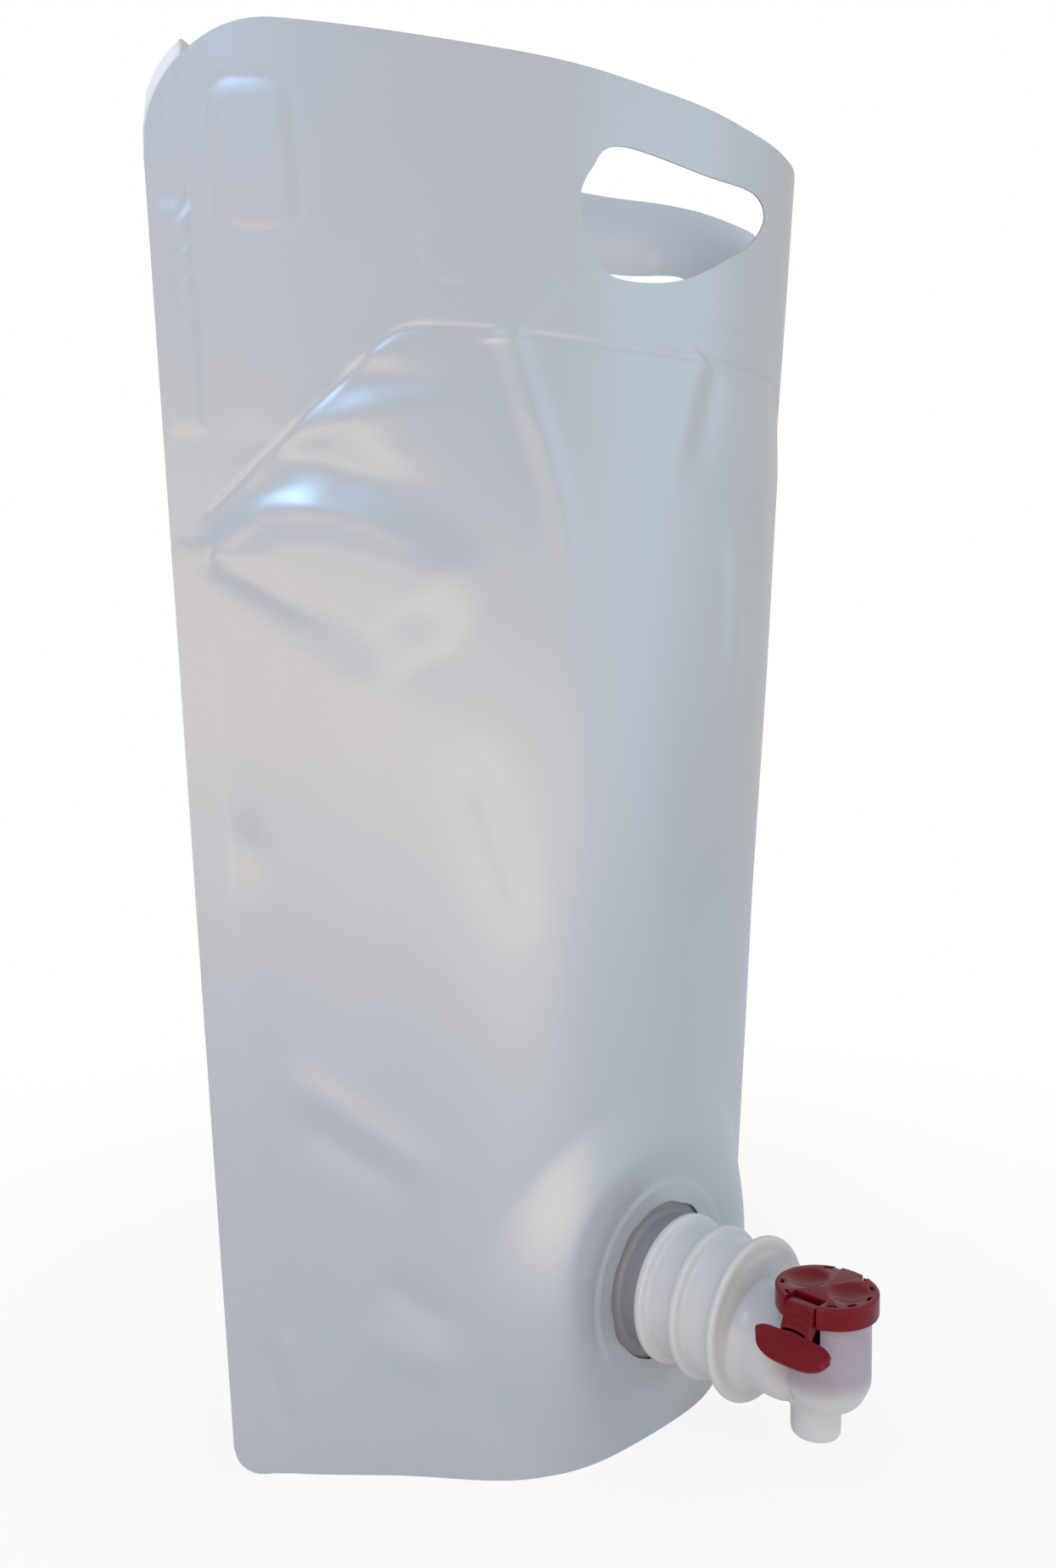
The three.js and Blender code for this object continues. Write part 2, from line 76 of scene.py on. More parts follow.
def fullTurn(steps):
    return np.linspace(0, 2 * math.pi, steps, endpoint=False)


def smooth(value, low, high):
    t = np.clip((value - low) / (high - low), 0, 1)
    return t * t * (3 - 2 * t)


def bowLine(shape, end):
    # the bow as a smooth line with its running share of the whole length
    turn = math.radians(end["turn"])
    flat = np.array(shape, float)
    x = flat[:, 0] * end["halfChord"]
    y = -flat[:, 1] * end["bow"]
    knots = np.stack([end["x"] + x * math.cos(turn) - y * math.sin(turn),
                      end["y"] + x * math.sin(turn) + y * math.cos(turn)], 1)
    last = len(knots) - 1
    line = []
    for place in np.linspace(0, last, 401):
        i = min(int(place), last - 1)
        w = place - i
        before, here = knots[max(i - 1, 0)], knots[i]
        there, after = knots[i + 1], knots[min(i + 2, last)]
        startPull = (there - before) * 0.5
        endPull = (after - here) * 0.5
        line.append((2 * here - 2 * there + startPull + endPull) * w ** 3
                    + (-3 * here + 3 * there - 2 * startPull - endPull) * w ** 2
                    + startPull * w + here)
    line = np.array(line)
    run = np.r_[0, np.cumsum(np.hypot(*np.diff(line, axis=0).T))]
    return line, run / run[-1]


topLine, topRun = bowLine(bag["topShape"], bag["top"])
baseLine, baseRun = bowLine(bag["baseShape"], bag["base"])


def ruledPoint(share, z):
    t = z / bag["height"]
    x = lerp(np.interp(share, baseRun, baseLine[:, 0]), np.interp(share, topRun, topLine[:, 0]), t)
    y = lerp(np.interp(share, baseRun, baseLine[:, 1]), np.interp(share, topRun, topLine[:, 1]), t)
    return np.stack([x, y, z + 0 * x], -1)


def spoutPlane():
    shares = np.linspace(0, 1, 2001)
    points = ruledPoint(shares, np.full_like(shares, spout["z"]))
    return float(np.interp(spout["x"], points[:, 0], points[:, 1]))


spout["y"] = spoutPlane()


def pastWeld(x, z):
    # distance beyond the rim of the spout's weld flange
    return np.hypot(x - spout["x"], z - spout["z"]) - spout["weldRadius"]


def frontPoint(share, z):
    point = ruledPoint(share, z)
    away = pastWeld(point[..., 0], z) - spout["flatMargin"]
    point[..., 1] = lerp(spout["y"], point[..., 1], smooth(away, 0, spout["flatFade"]))
    return point


def surfaceNormal(surface, share, z):
    step = 0.004
    across = surface(np.minimum(1, share + step), z) - surface(np.maximum(0, share - step), z)
    up = surface(share, z + 1) - surface(share, z - 1)
    normal = np.cross(across, up)
    return normal / np.linalg.norm(normal, axis=-1, keepdims=True)


def backPoint(share, z):
    point = ruledPoint(share, z) - bag["sealGap"] * surfaceNormal(ruledPoint, share, z)
    t = z / bag["height"]
    turn = np.radians(lerp(bag["base"]["turn"], bag["top"]["turn"], t))
    seal = bag["sideSeal"] / bag["width"]
    deepest = 0.5 + lerp(bag["base"]["deepest"], bag["top"]["deepest"], t) / 2
    reach = np.where(share < deepest, deepest - seal, 1 - seal - deepest)
    shape = np.clip(1 - ((share - deepest) / reach) ** 2, 0, None)
    depth = lerp(bag["base"]["depth"], bag["top"]["depth"], t) * shape
    depth = np.where((share <= seal) | (share >= 1 - seal), 0, depth)
    point[..., 0] -= np.sin(turn) * depth
    point[..., 1] += np.cos(turn) * depth
    return point


# The frame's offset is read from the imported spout.
glandLow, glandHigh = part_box("gland")
offset = np.array([
    (glandLow[0] + glandHigh[0]) * 500 - spout["x"],
    glandHigh[1] * 1000 - (spout["y"] + bag["sealGap"] + spout["weldThickness"]),
    (glandLow[2] + glandHigh[2]) * 500 - spout["z"],
])


def toFrame(points):
    return (np.asarray(points, float) + offset) / 1000


# Camera, at the photograph's place.
view = {"x": -291.9, "y": -313.8, "z": 212, "heading": -44.0, "pitch": 2.0, "lens": 27.26}


def makeCamera():
    data = bpy.data.cameras.new("photoCamera")
    data.lens = view["lens"]
    data.sensor_width = 36
    data.clip_start = 0.01
    camera = bpy.data.objects.new("photoCamera", data)
    camera.location = toFrame([view["x"], view["y"], view["z"]])
    camera.rotation_euler = (math.radians(90 - view["pitch"]), 0, math.radians(view["heading"]))
    scene.collection.objects.link(camera)
    scene.camera = camera


makeCamera()
scene.view_settings.view_transform = "Standard"
print("camera set")


# Mesh helpers
def addPiece(name, vertices, faces, body="pouch", smoothAngle=40):
    mesh = bpy.data.meshes.new(name)
    mesh.from_pydata([tuple(v) for v in vertices], [], [tuple(f) for f in faces])
    mesh.validate()
    piece = bpy.data.objects.new(name, mesh)
    scene.collection.objects.link(piece)
    tidyNormals(piece)
    shade(piece, smoothAngle)
    if body:
        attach(piece, body)
    return piece


def editMesh(piece, change):
    work = bmesh.new()
    work.from_mesh(piece.data)
    change(work)
    work.to_mesh(piece.data)
    work.free()


def tidyNormals(piece):
    editMesh(piece, lambda work: bmesh.ops.recalc_face_normals(work, faces=work.faces))


def dropLoosePoints(work):
    loose = [v for v in work.verts if not v.link_faces]
    bmesh.ops.delete(work, geom=loose, context="VERTS")


def joinClosePoints(work):
    bmesh.ops.remove_doubles(work, verts=work.verts, dist=1e-7)


def shade(piece, angle=40):
    for face in piece.data.polygons:
        face.use_smooth = True
    piece.data.set_sharp_from_angle(angle=math.radians(angle))


def applyModifiers(piece):
    graph = bpy.context.evaluated_depsgraph_get()
    made = bpy.data.meshes.new_from_object(piece.evaluated_get(graph))
    piece.modifiers.clear()
    old = piece.data
    piece.data = made
    bpy.data.meshes.remove(old)


def cutWith(piece, cutters, operation="DIFFERENCE"):
    for cutter in cutters:
        step = piece.modifiers.new("cut", "BOOLEAN")
        step.operation = operation
        step.solver = "EXACT"
        step.object = cutter
    applyModifiers(piece)
    for cutter in cutters:
        bpy.data.objects.remove(cutter)


def softenEdges(piece, width, segments=2, angle=35):
    step = piece.modifiers.new("edges", "BEVEL")
    step.width = width
    step.segments = segments
    step.limit_method = "ANGLE"
    step.angle_limit = math.radians(angle)
    step.use_clamp_overlap = True
    applyModifiers(piece)


def tubeFaces(spans, sides):
    # faces between rings of points
    return [(i * sides + j, i * sides + (j + 1) % sides,
             (i + 1) * sides + (j + 1) % sides, (i + 1) * sides + j)
            for i in range(spans) for j in range(sides)]


def gridFaces(columns, rows):
    return [(i * rows + j, (i + 1) * rows + j, (i + 1) * rows + j + 1, i * rows + j + 1)
            for i in range(columns - 1) for j in range(rows - 1)]


# Film relief, in millimetres across the film (along) and up it (high)
def ridge(gap, width):
    return np.exp(-(gap / width) ** 2)


def blob(along, high, centre, size, turn=0.0):
    a = along - centre[0]
    h = high - centre[1]
    c, s = math.cos(math.radians(turn)), math.sin(math.radians(turn))
    return np.exp(-((a * c + h * s) / size[0]) ** 2 - ((h * c - a * s) / size[1]) ** 2)


def nearestShare(x, y, start, end):
    # how far along a straight line the place nearest to a point lies, 0 to 1
    run, rise = end[0] - start[0], end[1] - start[1]
    return np.clip(((x - start[0]) * run + (y - start[1]) * rise) / (run ** 2 + rise ** 2), 0, 1)


def lineDistance(along, high, route):
    # distance to a broken line, and the share of the way along it
    best = np.full(along.shape, 1e9)
    share = np.zeros(along.shape)
    route = np.array(route, float)
    lengths = np.hypot(*np.diff(route, axis=0).T)
    total = lengths.sum()
    done = 0
    for start, end, length in zip(route[:-1], route[1:], lengths):
        t = nearestShare(along, high, start, end)
        gap = np.hypot(along - lerp(start[0], end[0], t), high - lerp(start[1], end[1], t))
        closer = gap < best
        best = np.where(closer, gap, best)
        share = np.where(closer, (done + t * length) / total, share)
        done += length
    return best, share


def smoothSpans(knots, steps):
    # a smooth curve through all knots but the first and the last two
    out = []
    for a, b, c, d in zip(knots, knots[1:], knots[2:], knots[3:]):
        for t in np.linspace(0, 1, steps, endpoint=False):
            out.append(0.5 * (2 * b + (c - a) * t + (2 * a - 5 * b + 4 * c - d) * t ** 2
                              + (3 * b - a - 3 * c + d) * t ** 3))
    return np.array(out)


def smoothRoute(points, steps=8):
    route = np.array(points, float)
    padded = np.vstack([2 * route[0] - route[1], route, 2 * route[-1] - route[-2]])
    return np.vstack([smoothSpans(padded, steps), route[-1]])


def crease(along, high, points, width, height, fadeStart=0.15, fadeEnd=0.15):
    # a soft ridge (height above 0) or furrow (below 0) along a smooth route
    gap, share = lineDistance(along, high, smoothRoute(points))
    fade = 1.0
    if fadeStart:
        fade = fade * smooth(share, 0, fadeStart)
    if fadeEnd:
        fade = fade * smooth(1 - share, 0, fadeEnd)
    return height * ridge(gap, width) * fade


def alongAt(x, z):
    # the place along the film, in millimetres, at which it has a given x
    shares = np.linspace(0, 1, 2001)
    return float(np.interp(x, ruledPoint(shares, np.full_like(shares, z))[:, 0],
                           shares)) * bag["width"]


film = {
    "contour": [(0, 268), (12, 277), (34, 298), (52, 315), (60, 323), (68, 328), (80, 329.3),
                (98, 329.5),
                (130, 330), (168, 333), (214, 334), (226, 329), (240, 316), (262, 294), (290, 268)],
    "handleFrame": [(104, 384), (101.5, 372), (102, 362), (107, 351), (119, 342.5), (135, 341),
                    (165, 342.5),
                    (194, 345), (206, 352), (211, 364), (211, 378), (206, 390)],
    "holeOutline": [(-39.5, 40), (-35, 29.5), (-24.5, 20.5), (10, 20.5), (33, 18.5), (40, 24),
                    (32, 34.5),
                    (20, 42.5), (2, 53), (-15, 58.5), (-30, 59.5), (-36.5, 52)],
    "holeAlong": alongAt(1.5, bag["height"]), "backHoleShift": (24, 5),
    "roundMark": (82, 351), "roundMarkRadius": 10, "spoutCalm": 16,
    "padCentre": (29, 373), "padHalf": (12, 21), "padCorner": 9,
    "leafHeight": 2.3,    # leaf-shaped swell in the left shoulder
    "leaf": [(9, 264), (20, 270.5), (34, 275.5), (52, 274), (68, 269.5), (79, 263), (76, 252),
             (66, 242), (52, 236), (42, 241), (30, 249), (19, 257), (9, 263)],
    # each fold: route, width, height (below 0 for a furrow), shares that fade in and out
    "folds": [
        # out of the two bright nodes on the contour, and the long ridge below them
        ([(97, 331), (102, 310), (108, 288), (112, 262), (114, 236)], 4.6, 1.1, 0.02, 0.7),
        ([(91, 328), (95, 309), (101, 288), (104, 268)], 4.2, -0.6, 0.05, 0.6),
        ([(98, 331), (106, 338), (114, 345)], 3.0, 0.5, 0.02, 0.4),
        ([(168, 334), (160, 318), (152, 299), (147, 284)], 5.2, 0.8, 0.02, 0.6),
        ([(174, 331), (167, 312), (160, 294)], 5.2, -0.6, 0.05, 0.6),
        ([(181, 292), (182, 262), (180, 232), (178, 205)], 6, 1.1, 0.3, 0.5),
        # left shoulder
        ([(9, 264), (18, 271), (30, 277), (50, 275), (66, 269), (77, 265)], 3.6, 0.7, 0.05, 0.3),
        ([(10, 263), (24, 255), (42, 244)], 3.2, 0.5, 0.05, 0.4),
        ([(20, 284), (34, 295), (50, 301), (70, 300)], 4.2, 0.5, 0.2, 0.5),
        # long creases lower down, and the pinch by the foot's left corner
        ([(78, 214), (82, 196), (87, 176), (92, 152)], 5, -0.9, 0.3, 0.4),
        ([(18, 123), (34, 108), (52, 94), (72, 83)], 6, 0.9, 0.3, 0.4),
        ([(22, 108), (40, 95), (60, 82)], 6, -0.8, 0.3, 0.4),
        ([(43, 60), (56, 50), (70, 43)], 5, -0.8, 0.3, 0.4),
        ([(36, 44), (52, 36), (72, 30)], 6, 0.8, 0.3, 0.4),
        ([(10, 40), (13, 26), (15, 10)], 2.2, -0.6, 0.2, 0.3),
        ([(16, 44), (19, 28), (21, 12)], 2.6, 0.6, 0.2, 0.3),
    ],
    # each swell: height (below 0 for a dent), centre, half sizes, turn in degrees
    "swells": [
        (2.0, (205, 215), (48, 120), 0), (0.45, (98, 330), (4.2, 3.0), 0),
        (-1.7, (47, 288), (19, 6.5), -12), (1.0, (54, 305), (14, 6), 18),
        (-1.0, (66, 313), (12, 4.5), 8), (0.6, (60, 321), (8, 3.5), 16),
        (-0.6, (64, 240), (16, 9), -35), (-0.9, (15.5, 182), (5, 9), 0),
        (-1.0, (238, 180), (16, 60), 6), (0.9, (252, 90), (14, 40), -8),
    ],
    "backFolds": [
        ([(20, 300), (60, 270), (95, 262)], 6, 1.6), ([(240, 300), (200, 282), (170, 278)], 6, 1.5),
        ([(16, 150), (60, 132), (110, 130)], 8, 1.1), ([(270, 140), (220, 118), (180, 112)], 8,
                1.2),
        ([(70, 60), (120, 48), (170, 52)], 8, -1.2), ([(120, 330), (128, 290), (134, 250)], 5, 1.3),
    ],
    "frontSeed": 11, "backSeed": 23,
}


def contourHeight(along):
    route = smoothRoute(film["contour"])
    order = np.argsort(route[:, 0])
    return np.interp(along, route[order, 0], route[order, 1])


def frontRelief(along, high):
    width = bag["width"]
    edge = np.minimum(along, width - along)
    # side seals: flat bands with a fine pressed step on their inner edge
    relief = 0.8 * smooth(edge, 11, 26) - 0.14 * ridge(edge - 11.3, 0.9)
    # below the contour the film is drawn out by what fills it
    below = contourHeight(along) - high
    full = smooth(below, 1, 26) * smooth(edge, 12, 46)
    relief += 1.3 * full - 0.42 * ridge(below, 1.1) * smooth(edge, 9, 14)
    # pressed frame round the carry hole
    gap, _ = lineDistance(along, high, smoothRoute(film["handleFrame"]))
    relief = relief - 0.2 * ridge(gap, 1.2) + 0.06 * ridge(gap - 3.0, 1.5)
    # small round mark
    markX, markZ = film["roundMark"]
    ring = np.hypot(along - markX, high - markZ) - film["roundMarkRadius"]
    relief = relief - 0.14 * ridge(ring, 1.1) + 0.12 * smooth(-ring, 0, 3)
    # plain raised pad with round corners
    corner = film["padCorner"]
    dx = np.maximum(np.abs(along - film["padCentre"][0]) - film["padHalf"][0] + corner, 0)
    dz = np.maximum(np.abs(high - film["padCentre"][1]) - film["padHalf"][1] + corner, 0)
    rim = np.hypot(dx, dz) - corner
    relief = relief - 0.12 * ridge(rim, 1.2) + 0.3 * smooth(-rim, 0, 5)
    # loose patch of the left seal, with its crimps and the step that ends it
    patch = smooth(along, 1, 4) * smooth(13 - along, 0, 3) * smooth(high, 296,
            300) * smooth(362 - high, 0, 6)
    relief += 0.45 * patch
    for rise in (0, 7, 15, 24):
        relief += crease(along, high, [(6.5, 331 + rise), (9.5, 334 + rise), (12, 341 + rise)],
                         1.2, -0.28)
    relief = relief - 0.2 * ridge(high - 269, 1.1) * smooth(12 - along, 0, 2)
    relief = relief - 0.12 * ridge(along - 6.5, 0.7) * smooth(high, 300, 312)
    for points, wide, tall, fadeStart, fadeEnd in film["folds"]:
        relief += crease(along, high, points, wide, tall, fadeStart, fadeEnd)
    for tall, centre, size, turn in film["swells"]:
        relief += tall * blob(along, high, centre, size, turn)
    relief += film["leafHeight"] * smooth(leafDepth(along, high), -10, 10)
    relief += waviness(along, high, film["frontSeed"])
    return relief


def leafDepth(along, high):
    # how far inside the leaf-shaped swell of the left shoulder a place lies
    outline = smoothRoute(film["leaf"])
    gap, _ = lineDistance(along, high, outline)
    return np.where(insideLoop(along, high, outline), gap, -gap)


def waviness(along, high, seed):
    # long, faint waves that keep a free film from looking ruled
    source = np.random.default_rng(seed)
    total = np.zeros(along.shape)
    for _ in range(9):
        long = source.uniform(38, 130)
        turn = source.uniform(-0.5, 0.5)
        phase = source.uniform(0, 2 * math.pi)
        total += source.uniform(0.08, 0.2) * np.sin(
            (along * math.cos(turn) + high * math.sin(turn) * 0.7) * 2 * math.pi / long + phase)
    return total


def backRelief(along, high):
    edge = np.minimum(along, bag["width"] - along)
    relief = 0.8 * smooth(edge, 11, 24) - 0.3 * ridge(edge - 11.3, 0.8)
    below = contourHeight(along) - high
    relief = relief - 0.5 * ridge(below, 1.6) * smooth(edge, 9, 14)
    gap, _ = lineDistance(along, high, smoothRoute(film["handleFrame"]))
    relief = relief - 0.5 * ridge(gap, 1.5) + 0.3 * ridge(gap - 3.4, 1.7)
    for points, wide, tall in film["backFolds"]:
        relief += crease(along, high, points, wide, tall, 0.3, 0.4)
    return relief + 1.4 * waviness(along, high, film["backSeed"])


def cornerDrop(share, radius):
    inset = np.minimum(share, 1 - share) * bag["width"]
    inner = np.clip(radius - inset, 0, radius)
    return radius - np.sqrt(radius ** 2 - inner ** 2)


def carryHole(shift=(0, 0)):
    points = np.array(film["holeOutline"], float)
    loop = smoothSpans(np.vstack([points[-1], points, points[:2]]), 12)
    loop[:, 0] += film["holeAlong"] + shift[0]
    loop[:, 1] = bag["height"] - loop[:, 1] - shift[1]
    return loop


def insideLoop(x, y, loop):
    # even-odd test of many points against a closed outline
    inside = np.zeros(x.shape, bool)
    for (ax, ay), (bx, by) in zip(loop, np.roll(loop, -1, axis=0)):
        crosses = (ay > y) != (by > y)
        inside ^= crosses & (x < ax + (y - ay) * (bx - ax) / (by - ay + 1e-12))
    return inside


def snapToLoop(x, y, loop):
    # the nearest places on a closed outline
    bestX, bestY, best = x.copy(), y.copy(), np.full(x.shape, 1e9)
    for (ax, ay), (bx, by) in zip(loop, np.roll(loop, -1, axis=0)):
        t = nearestShare(x, y, (ax, ay), (bx, by))
        nearX, nearY = lerp(ax, bx, t), lerp(ay, by, t)
        gap = np.hypot(x - nearX, y - nearY)
        closer = gap < best
        bestX, bestY, best = (np.where(closer, new, old) for new, old in
                              ((nearX, bestX), (nearY, bestY), (gap, best)))
    return bestX, bestY


def spoutHoleLoop():
    # the film's hole round the spout, cut a little unevenly
    turn = fullTurn(180)
    radius = spout["holeRadius"] + 0.2 * np.sin(9 * turn) + 0.14 * np.sin(14 * turn + 1)
    return np.stack([spout["x"] + radius * np.cos(turn), spout["z"] + radius * np.sin(turn)], 1)


def filmPiece(name, replaced, surface, side, relief, cell, corner, hole, spoutHole):
    columns = int(bag["width"] / cell) + 1
    rows = int(bag["height"] / cell) + 1
    share, row = np.meshgrid(np.linspace(0, 1, columns), np.linspace(0, 1, rows), indexing="ij")
    along = share * bag["width"]
    high = lerp(cornerDrop(share, bag["baseCorner"]), bag["height"] - cornerDrop(share, corner),
                row)
    faces = np.array(gridFaces(columns, rows))
    along, high, faces = cutFace(along.ravel(), high.ravel(), faces, hole)
    share = along / bag["width"]
    points = surface(share, high)
    normals = surfaceNormal(surface, share, high)
    lift = relief(along, high)
    if spoutHole:
        x, z, faces = cutFace(points[:, 0], points[:, 2], faces, spoutHoleLoop())
        points[:, 0], points[:, 2] = x, z
        away = pastWeld(x, z)
        lift = lift * smooth(away, 1, film["spoutCalm"])
        lift = lift + 0.2 * ridge(away, 1.0) - 0.12 * ridge(away - 2, 1.0)
    lift = lift + 0.5 * bag["film"]
    points = points + side * lift[:, None] * normals
    piece = addPiece(name, toFrame(points), faces.tolist(), smoothAngle=80)
    faceOutward(piece, side * normals)
    editMesh(piece, dropLoosePoints)
    thicken(piece, bag["skin"] / 1000)
    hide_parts(replaced)
    return piece


def cutFace(x, y, faces, loop):
    # drops the faces inside an outline and draws the rest exactly onto it
    gone = insideLoop(x[faces].mean(1), y[faces].mean(1), loop)
    kept, cut = np.zeros(x.shape, bool), np.zeros(x.shape, bool)
    kept[faces[~gone].ravel()] = True
    cut[faces[gone].ravel()] = True
    faces, stray = faces[~gone], kept & cut
    x, y = x.copy(), y.copy()
    x[stray], y[stray] = snapToLoop(x[stray], y[stray], loop)
    return x, y, faces


def faceOutward(piece, outward):
    mesh = piece.data
    facing = sum(mesh.polygons[i].normal.dot(Vector(outward[mesh.polygons[i].vertices[0]]))
                 for i in range(0, len(mesh.polygons), 50))
    if facing < 0:
        mesh.flip_normals()


def thicken(piece, thickness):
    step = piece.modifiers.new("skin", "SOLIDIFY")
    step.thickness = thickness
    step.offset = 0
    step.use_rim = True
    step.material_offset = 1
    step.material_offset_rim = 2
    piece.data.materials.append(filmSkin)
    piece.data.materials.append(filmLining)
    piece.data.materials.append(filmEdge)
    applyModifiers(piece)
    shade(piece, 60)


# Materials
def newMaterial(name):
    material = bpy.data.materials.new(name)
    material.use_nodes = True
    nodes = material.node_tree.nodes
    return material, nodes, material.node_tree.links, nodes["Principled BSDF"]


def addNode(nodes, kind, **values):
    node = nodes.new(kind)
    for key, value in values.items():
        setattr(node, key, value)
    return node


def wire(links, pairs):
    for source, output, target, entry in pairs:
        links.new(source.outputs[output], target.inputs[entry])


def setInputs(node, values):
    for name, value in values.items():
        node.inputs[name].default_value = value


def makeMottleGroup():
    # faint uneven tone and fine unevenness of the surface, from the object's own coordinates
    group = bpy.data.node_groups.new("surfaceMottle", "ShaderNodeTree")
    face = group.interface
    base = face.new_socket("Base", in_out="INPUT", socket_type="NodeSocketColor")
    base.default_value = (0.5, 0.5, 0.5, 1)
    tint = face.new_socket("Tint", in_out="INPUT", socket_type="NodeSocketColor")
    tint.default_value = (0.6, 0.6, 0.6, 1)
    for label, value in (("Patch scale", 12.0), ("Amount", 0.3), ("Fine scale", 900.0)):
        socket = face.new_socket(label, in_out="INPUT", socket_type="NodeSocketFloat")
        socket.default_value = value
    face.new_socket("Color", in_out="OUTPUT", socket_type="NodeSocketColor")
    face.new_socket("Rough shift", in_out="OUTPUT", socket_type="NodeSocketFloat")
    face.new_socket("Height", in_out="OUTPUT", socket_type="NodeSocketFloat")
    nodes, links = group.nodes, group.links
    entry = nodes.new("NodeGroupInput")
    leave = nodes.new("NodeGroupOutput")
    place = nodes.new("ShaderNodeTexCoord")
    patches = addNode(nodes, "ShaderNodeTexNoise")
    setInputs(patches, {"Detail": 4})
    fine = addNode(nodes, "ShaderNodeTexNoise")
    setInputs(fine, {"Detail": 5})
    wire(links, [
        (place, "Object", patches, "Vector"), (place, "Object", fine, "Vector"),
        (entry, "Patch scale", patches, "Scale"), (entry, "Fine scale", fine, "Scale")])
    spread = addNode(nodes, "ShaderNodeMapRange")
    setInputs(spread, {"From Min": 0.35, "From Max": 0.65})
    links.new(patches.outputs["Fac"], spread.inputs["Value"])
    amount = addNode(nodes, "ShaderNodeMath", operation="MULTIPLY")
    wire(links, [(spread, "Result", amount, 0), (entry, "Amount", amount, 1)])
    mix = addNode(nodes, "ShaderNodeMix", data_type="RGBA")
    wire(links, [
        (amount, 0, mix, 0), (entry, "Base", mix, 6), (entry, "Tint", mix, 7),
        (mix, 2, leave, "Color"), (amount, 0, leave, "Rough shift"),
        (fine, "Fac", leave, "Height")])
    return group


mottleGroup = makeMottleGroup()


def mottled(name, base, tint, patchScale, amount, fineScale, roughLow, roughHigh, bump,
            bumpDistance):
    material, nodes, links, shader = newMaterial(name)
    mottle = addNode(nodes, "ShaderNodeGroup", node_tree=mottleGroup)
    setInputs(mottle, {"Base": (*base, 1), "Tint": (*tint, 1), "Patch scale": patchScale,
                       "Amount": amount, "Fine scale": fineScale})
    rough = addNode(nodes, "ShaderNodeMapRange")
    setInputs(rough, {"To Min": roughLow, "To Max": roughHigh})
    wire(links, [(mottle, "Rough shift", rough, "Value"), (rough, "Result", shader, "Roughness")])
    relief = addNode(nodes, "ShaderNodeBump")
    setInputs(relief, {"Strength": bump, "Distance": bumpDistance})
    wire(links, [
        (mottle, "Height", relief, "Height"), (relief, "Normal", shader, "Normal"),
        (mottle, "Color", shader, "Base Color")])
    return material, nodes, links, shader, mottle


def makeFilmSkin():
    material, _, _, shader, _ = mottled(
        "pearlFilm", (0.455, 0.478, 0.495), (0.485, 0.492, 0.50), 9, 0.5, 420, 0.34, 0.42, 0.05,
        0.0003)
    setInputs(shader, {"Metallic": 0.3, "Specular IOR Level": 0.5, "Coat Weight": 0.5,
                       "Coat Roughness": 0.3})
    return material


def placeMask(nodes, links, axis, start, full):
    # 0 to 1 between two places, in metres, along one of the object's axes
    place = nodes.new("ShaderNodeTexCoord")
    split = nodes.new("ShaderNodeSeparateXYZ")
    links.new(place.outputs["Object"], split.inputs[0])
    mask = addNode(nodes, "ShaderNodeMapRange", interpolation_type="SMOOTHSTEP")
    setInputs(mask, {"From Min": start, "From Max": full})
    links.new(split.outputs[axis], mask.inputs["Value"])
    return mask.outputs["Result"]


def tintThrough(nodes, links, mottle, shader, masks, amount, color):
    part = amount
    for mask in masks:
        step = addNode(nodes, "ShaderNodeMath", operation="MULTIPLY")
        links.new(mask, step.inputs[0])
        if isinstance(part, (int, float)):
            step.inputs[1].default_value = part
        else:
            links.new(part, step.inputs[1])
        part = step.outputs[0]
    blend = addNode(nodes, "ShaderNodeMix", data_type="RGBA")
    blend.inputs[7].default_value = (*color, 1)
    links.new(part, blend.inputs[0])
    wire(links, [(mottle, "Color", blend, 6), (blend, 2, shader, "Base Color")])


def milky(name, base, tint):
    made = mottled(name, base, tint, 34, 0.5, 700, 0.3, 0.42, 0.06, 0.0002)
    shader = made[3]
    setInputs(shader, {"Subsurface Weight": 0.3, "Subsurface Radius": (1.0, 0.9, 0.85),
                       "Subsurface Scale": 0.002})
    return made


def makeNaturalPlastic():
    # painted shade: the neck is darkened to grey next to the film, in the recess where it stands
    material, nodes, links, shader, mottle = milky("naturalPlastic", (0.60, 0.585, 0.565),
            (0.64, 0.63, 0.615))
    plane = float(toFrame([0, spout["y"], 0])[1])
    # painted shade of the recess: a dark grey mixed into the base colour over the neck's first few
    # millimetres
    tintThrough(nodes, links, mottle, shader, [placeMask(nodes, links, "Y", plane - 0.0075,
            plane - 0.0055)],
                0.85, (0.225, 0.22, 0.225))
    return material


def makeTapPlastic():
    # the chamber lets the red piece inside shine through a little
    material, nodes, links, shader, mottle = milky("tapPlastic", (0.56, 0.545, 0.53),
            (0.60, 0.59, 0.58))
    centre = toFrame([spout["x"], tap["y"], tap["shoulderTop"]])
    rise = placeMask(nodes, links, "Z", float(centre[2]) - 0.001, float(centre[2]) + 0.006)
    front = placeMask(nodes, links, "Y", float(centre[1]) + 0.012, float(centre[1]) + 0.004)
    tintThrough(nodes, links, mottle, shader, [rise, front], 0.8, (0.32, 0.255, 0.31))
    return material


def makeRedPlastic():
    material, _, _, shader, _ = mottled(
        "redPlastic", (0.145, 0.002, 0.006), (0.185, 0.004, 0.009), 140, 0.6, 1600, 0.24, 0.36,
        0.1, 0.00012)
    setInputs(shader, {"Specular IOR Level": 0.22})
    return material


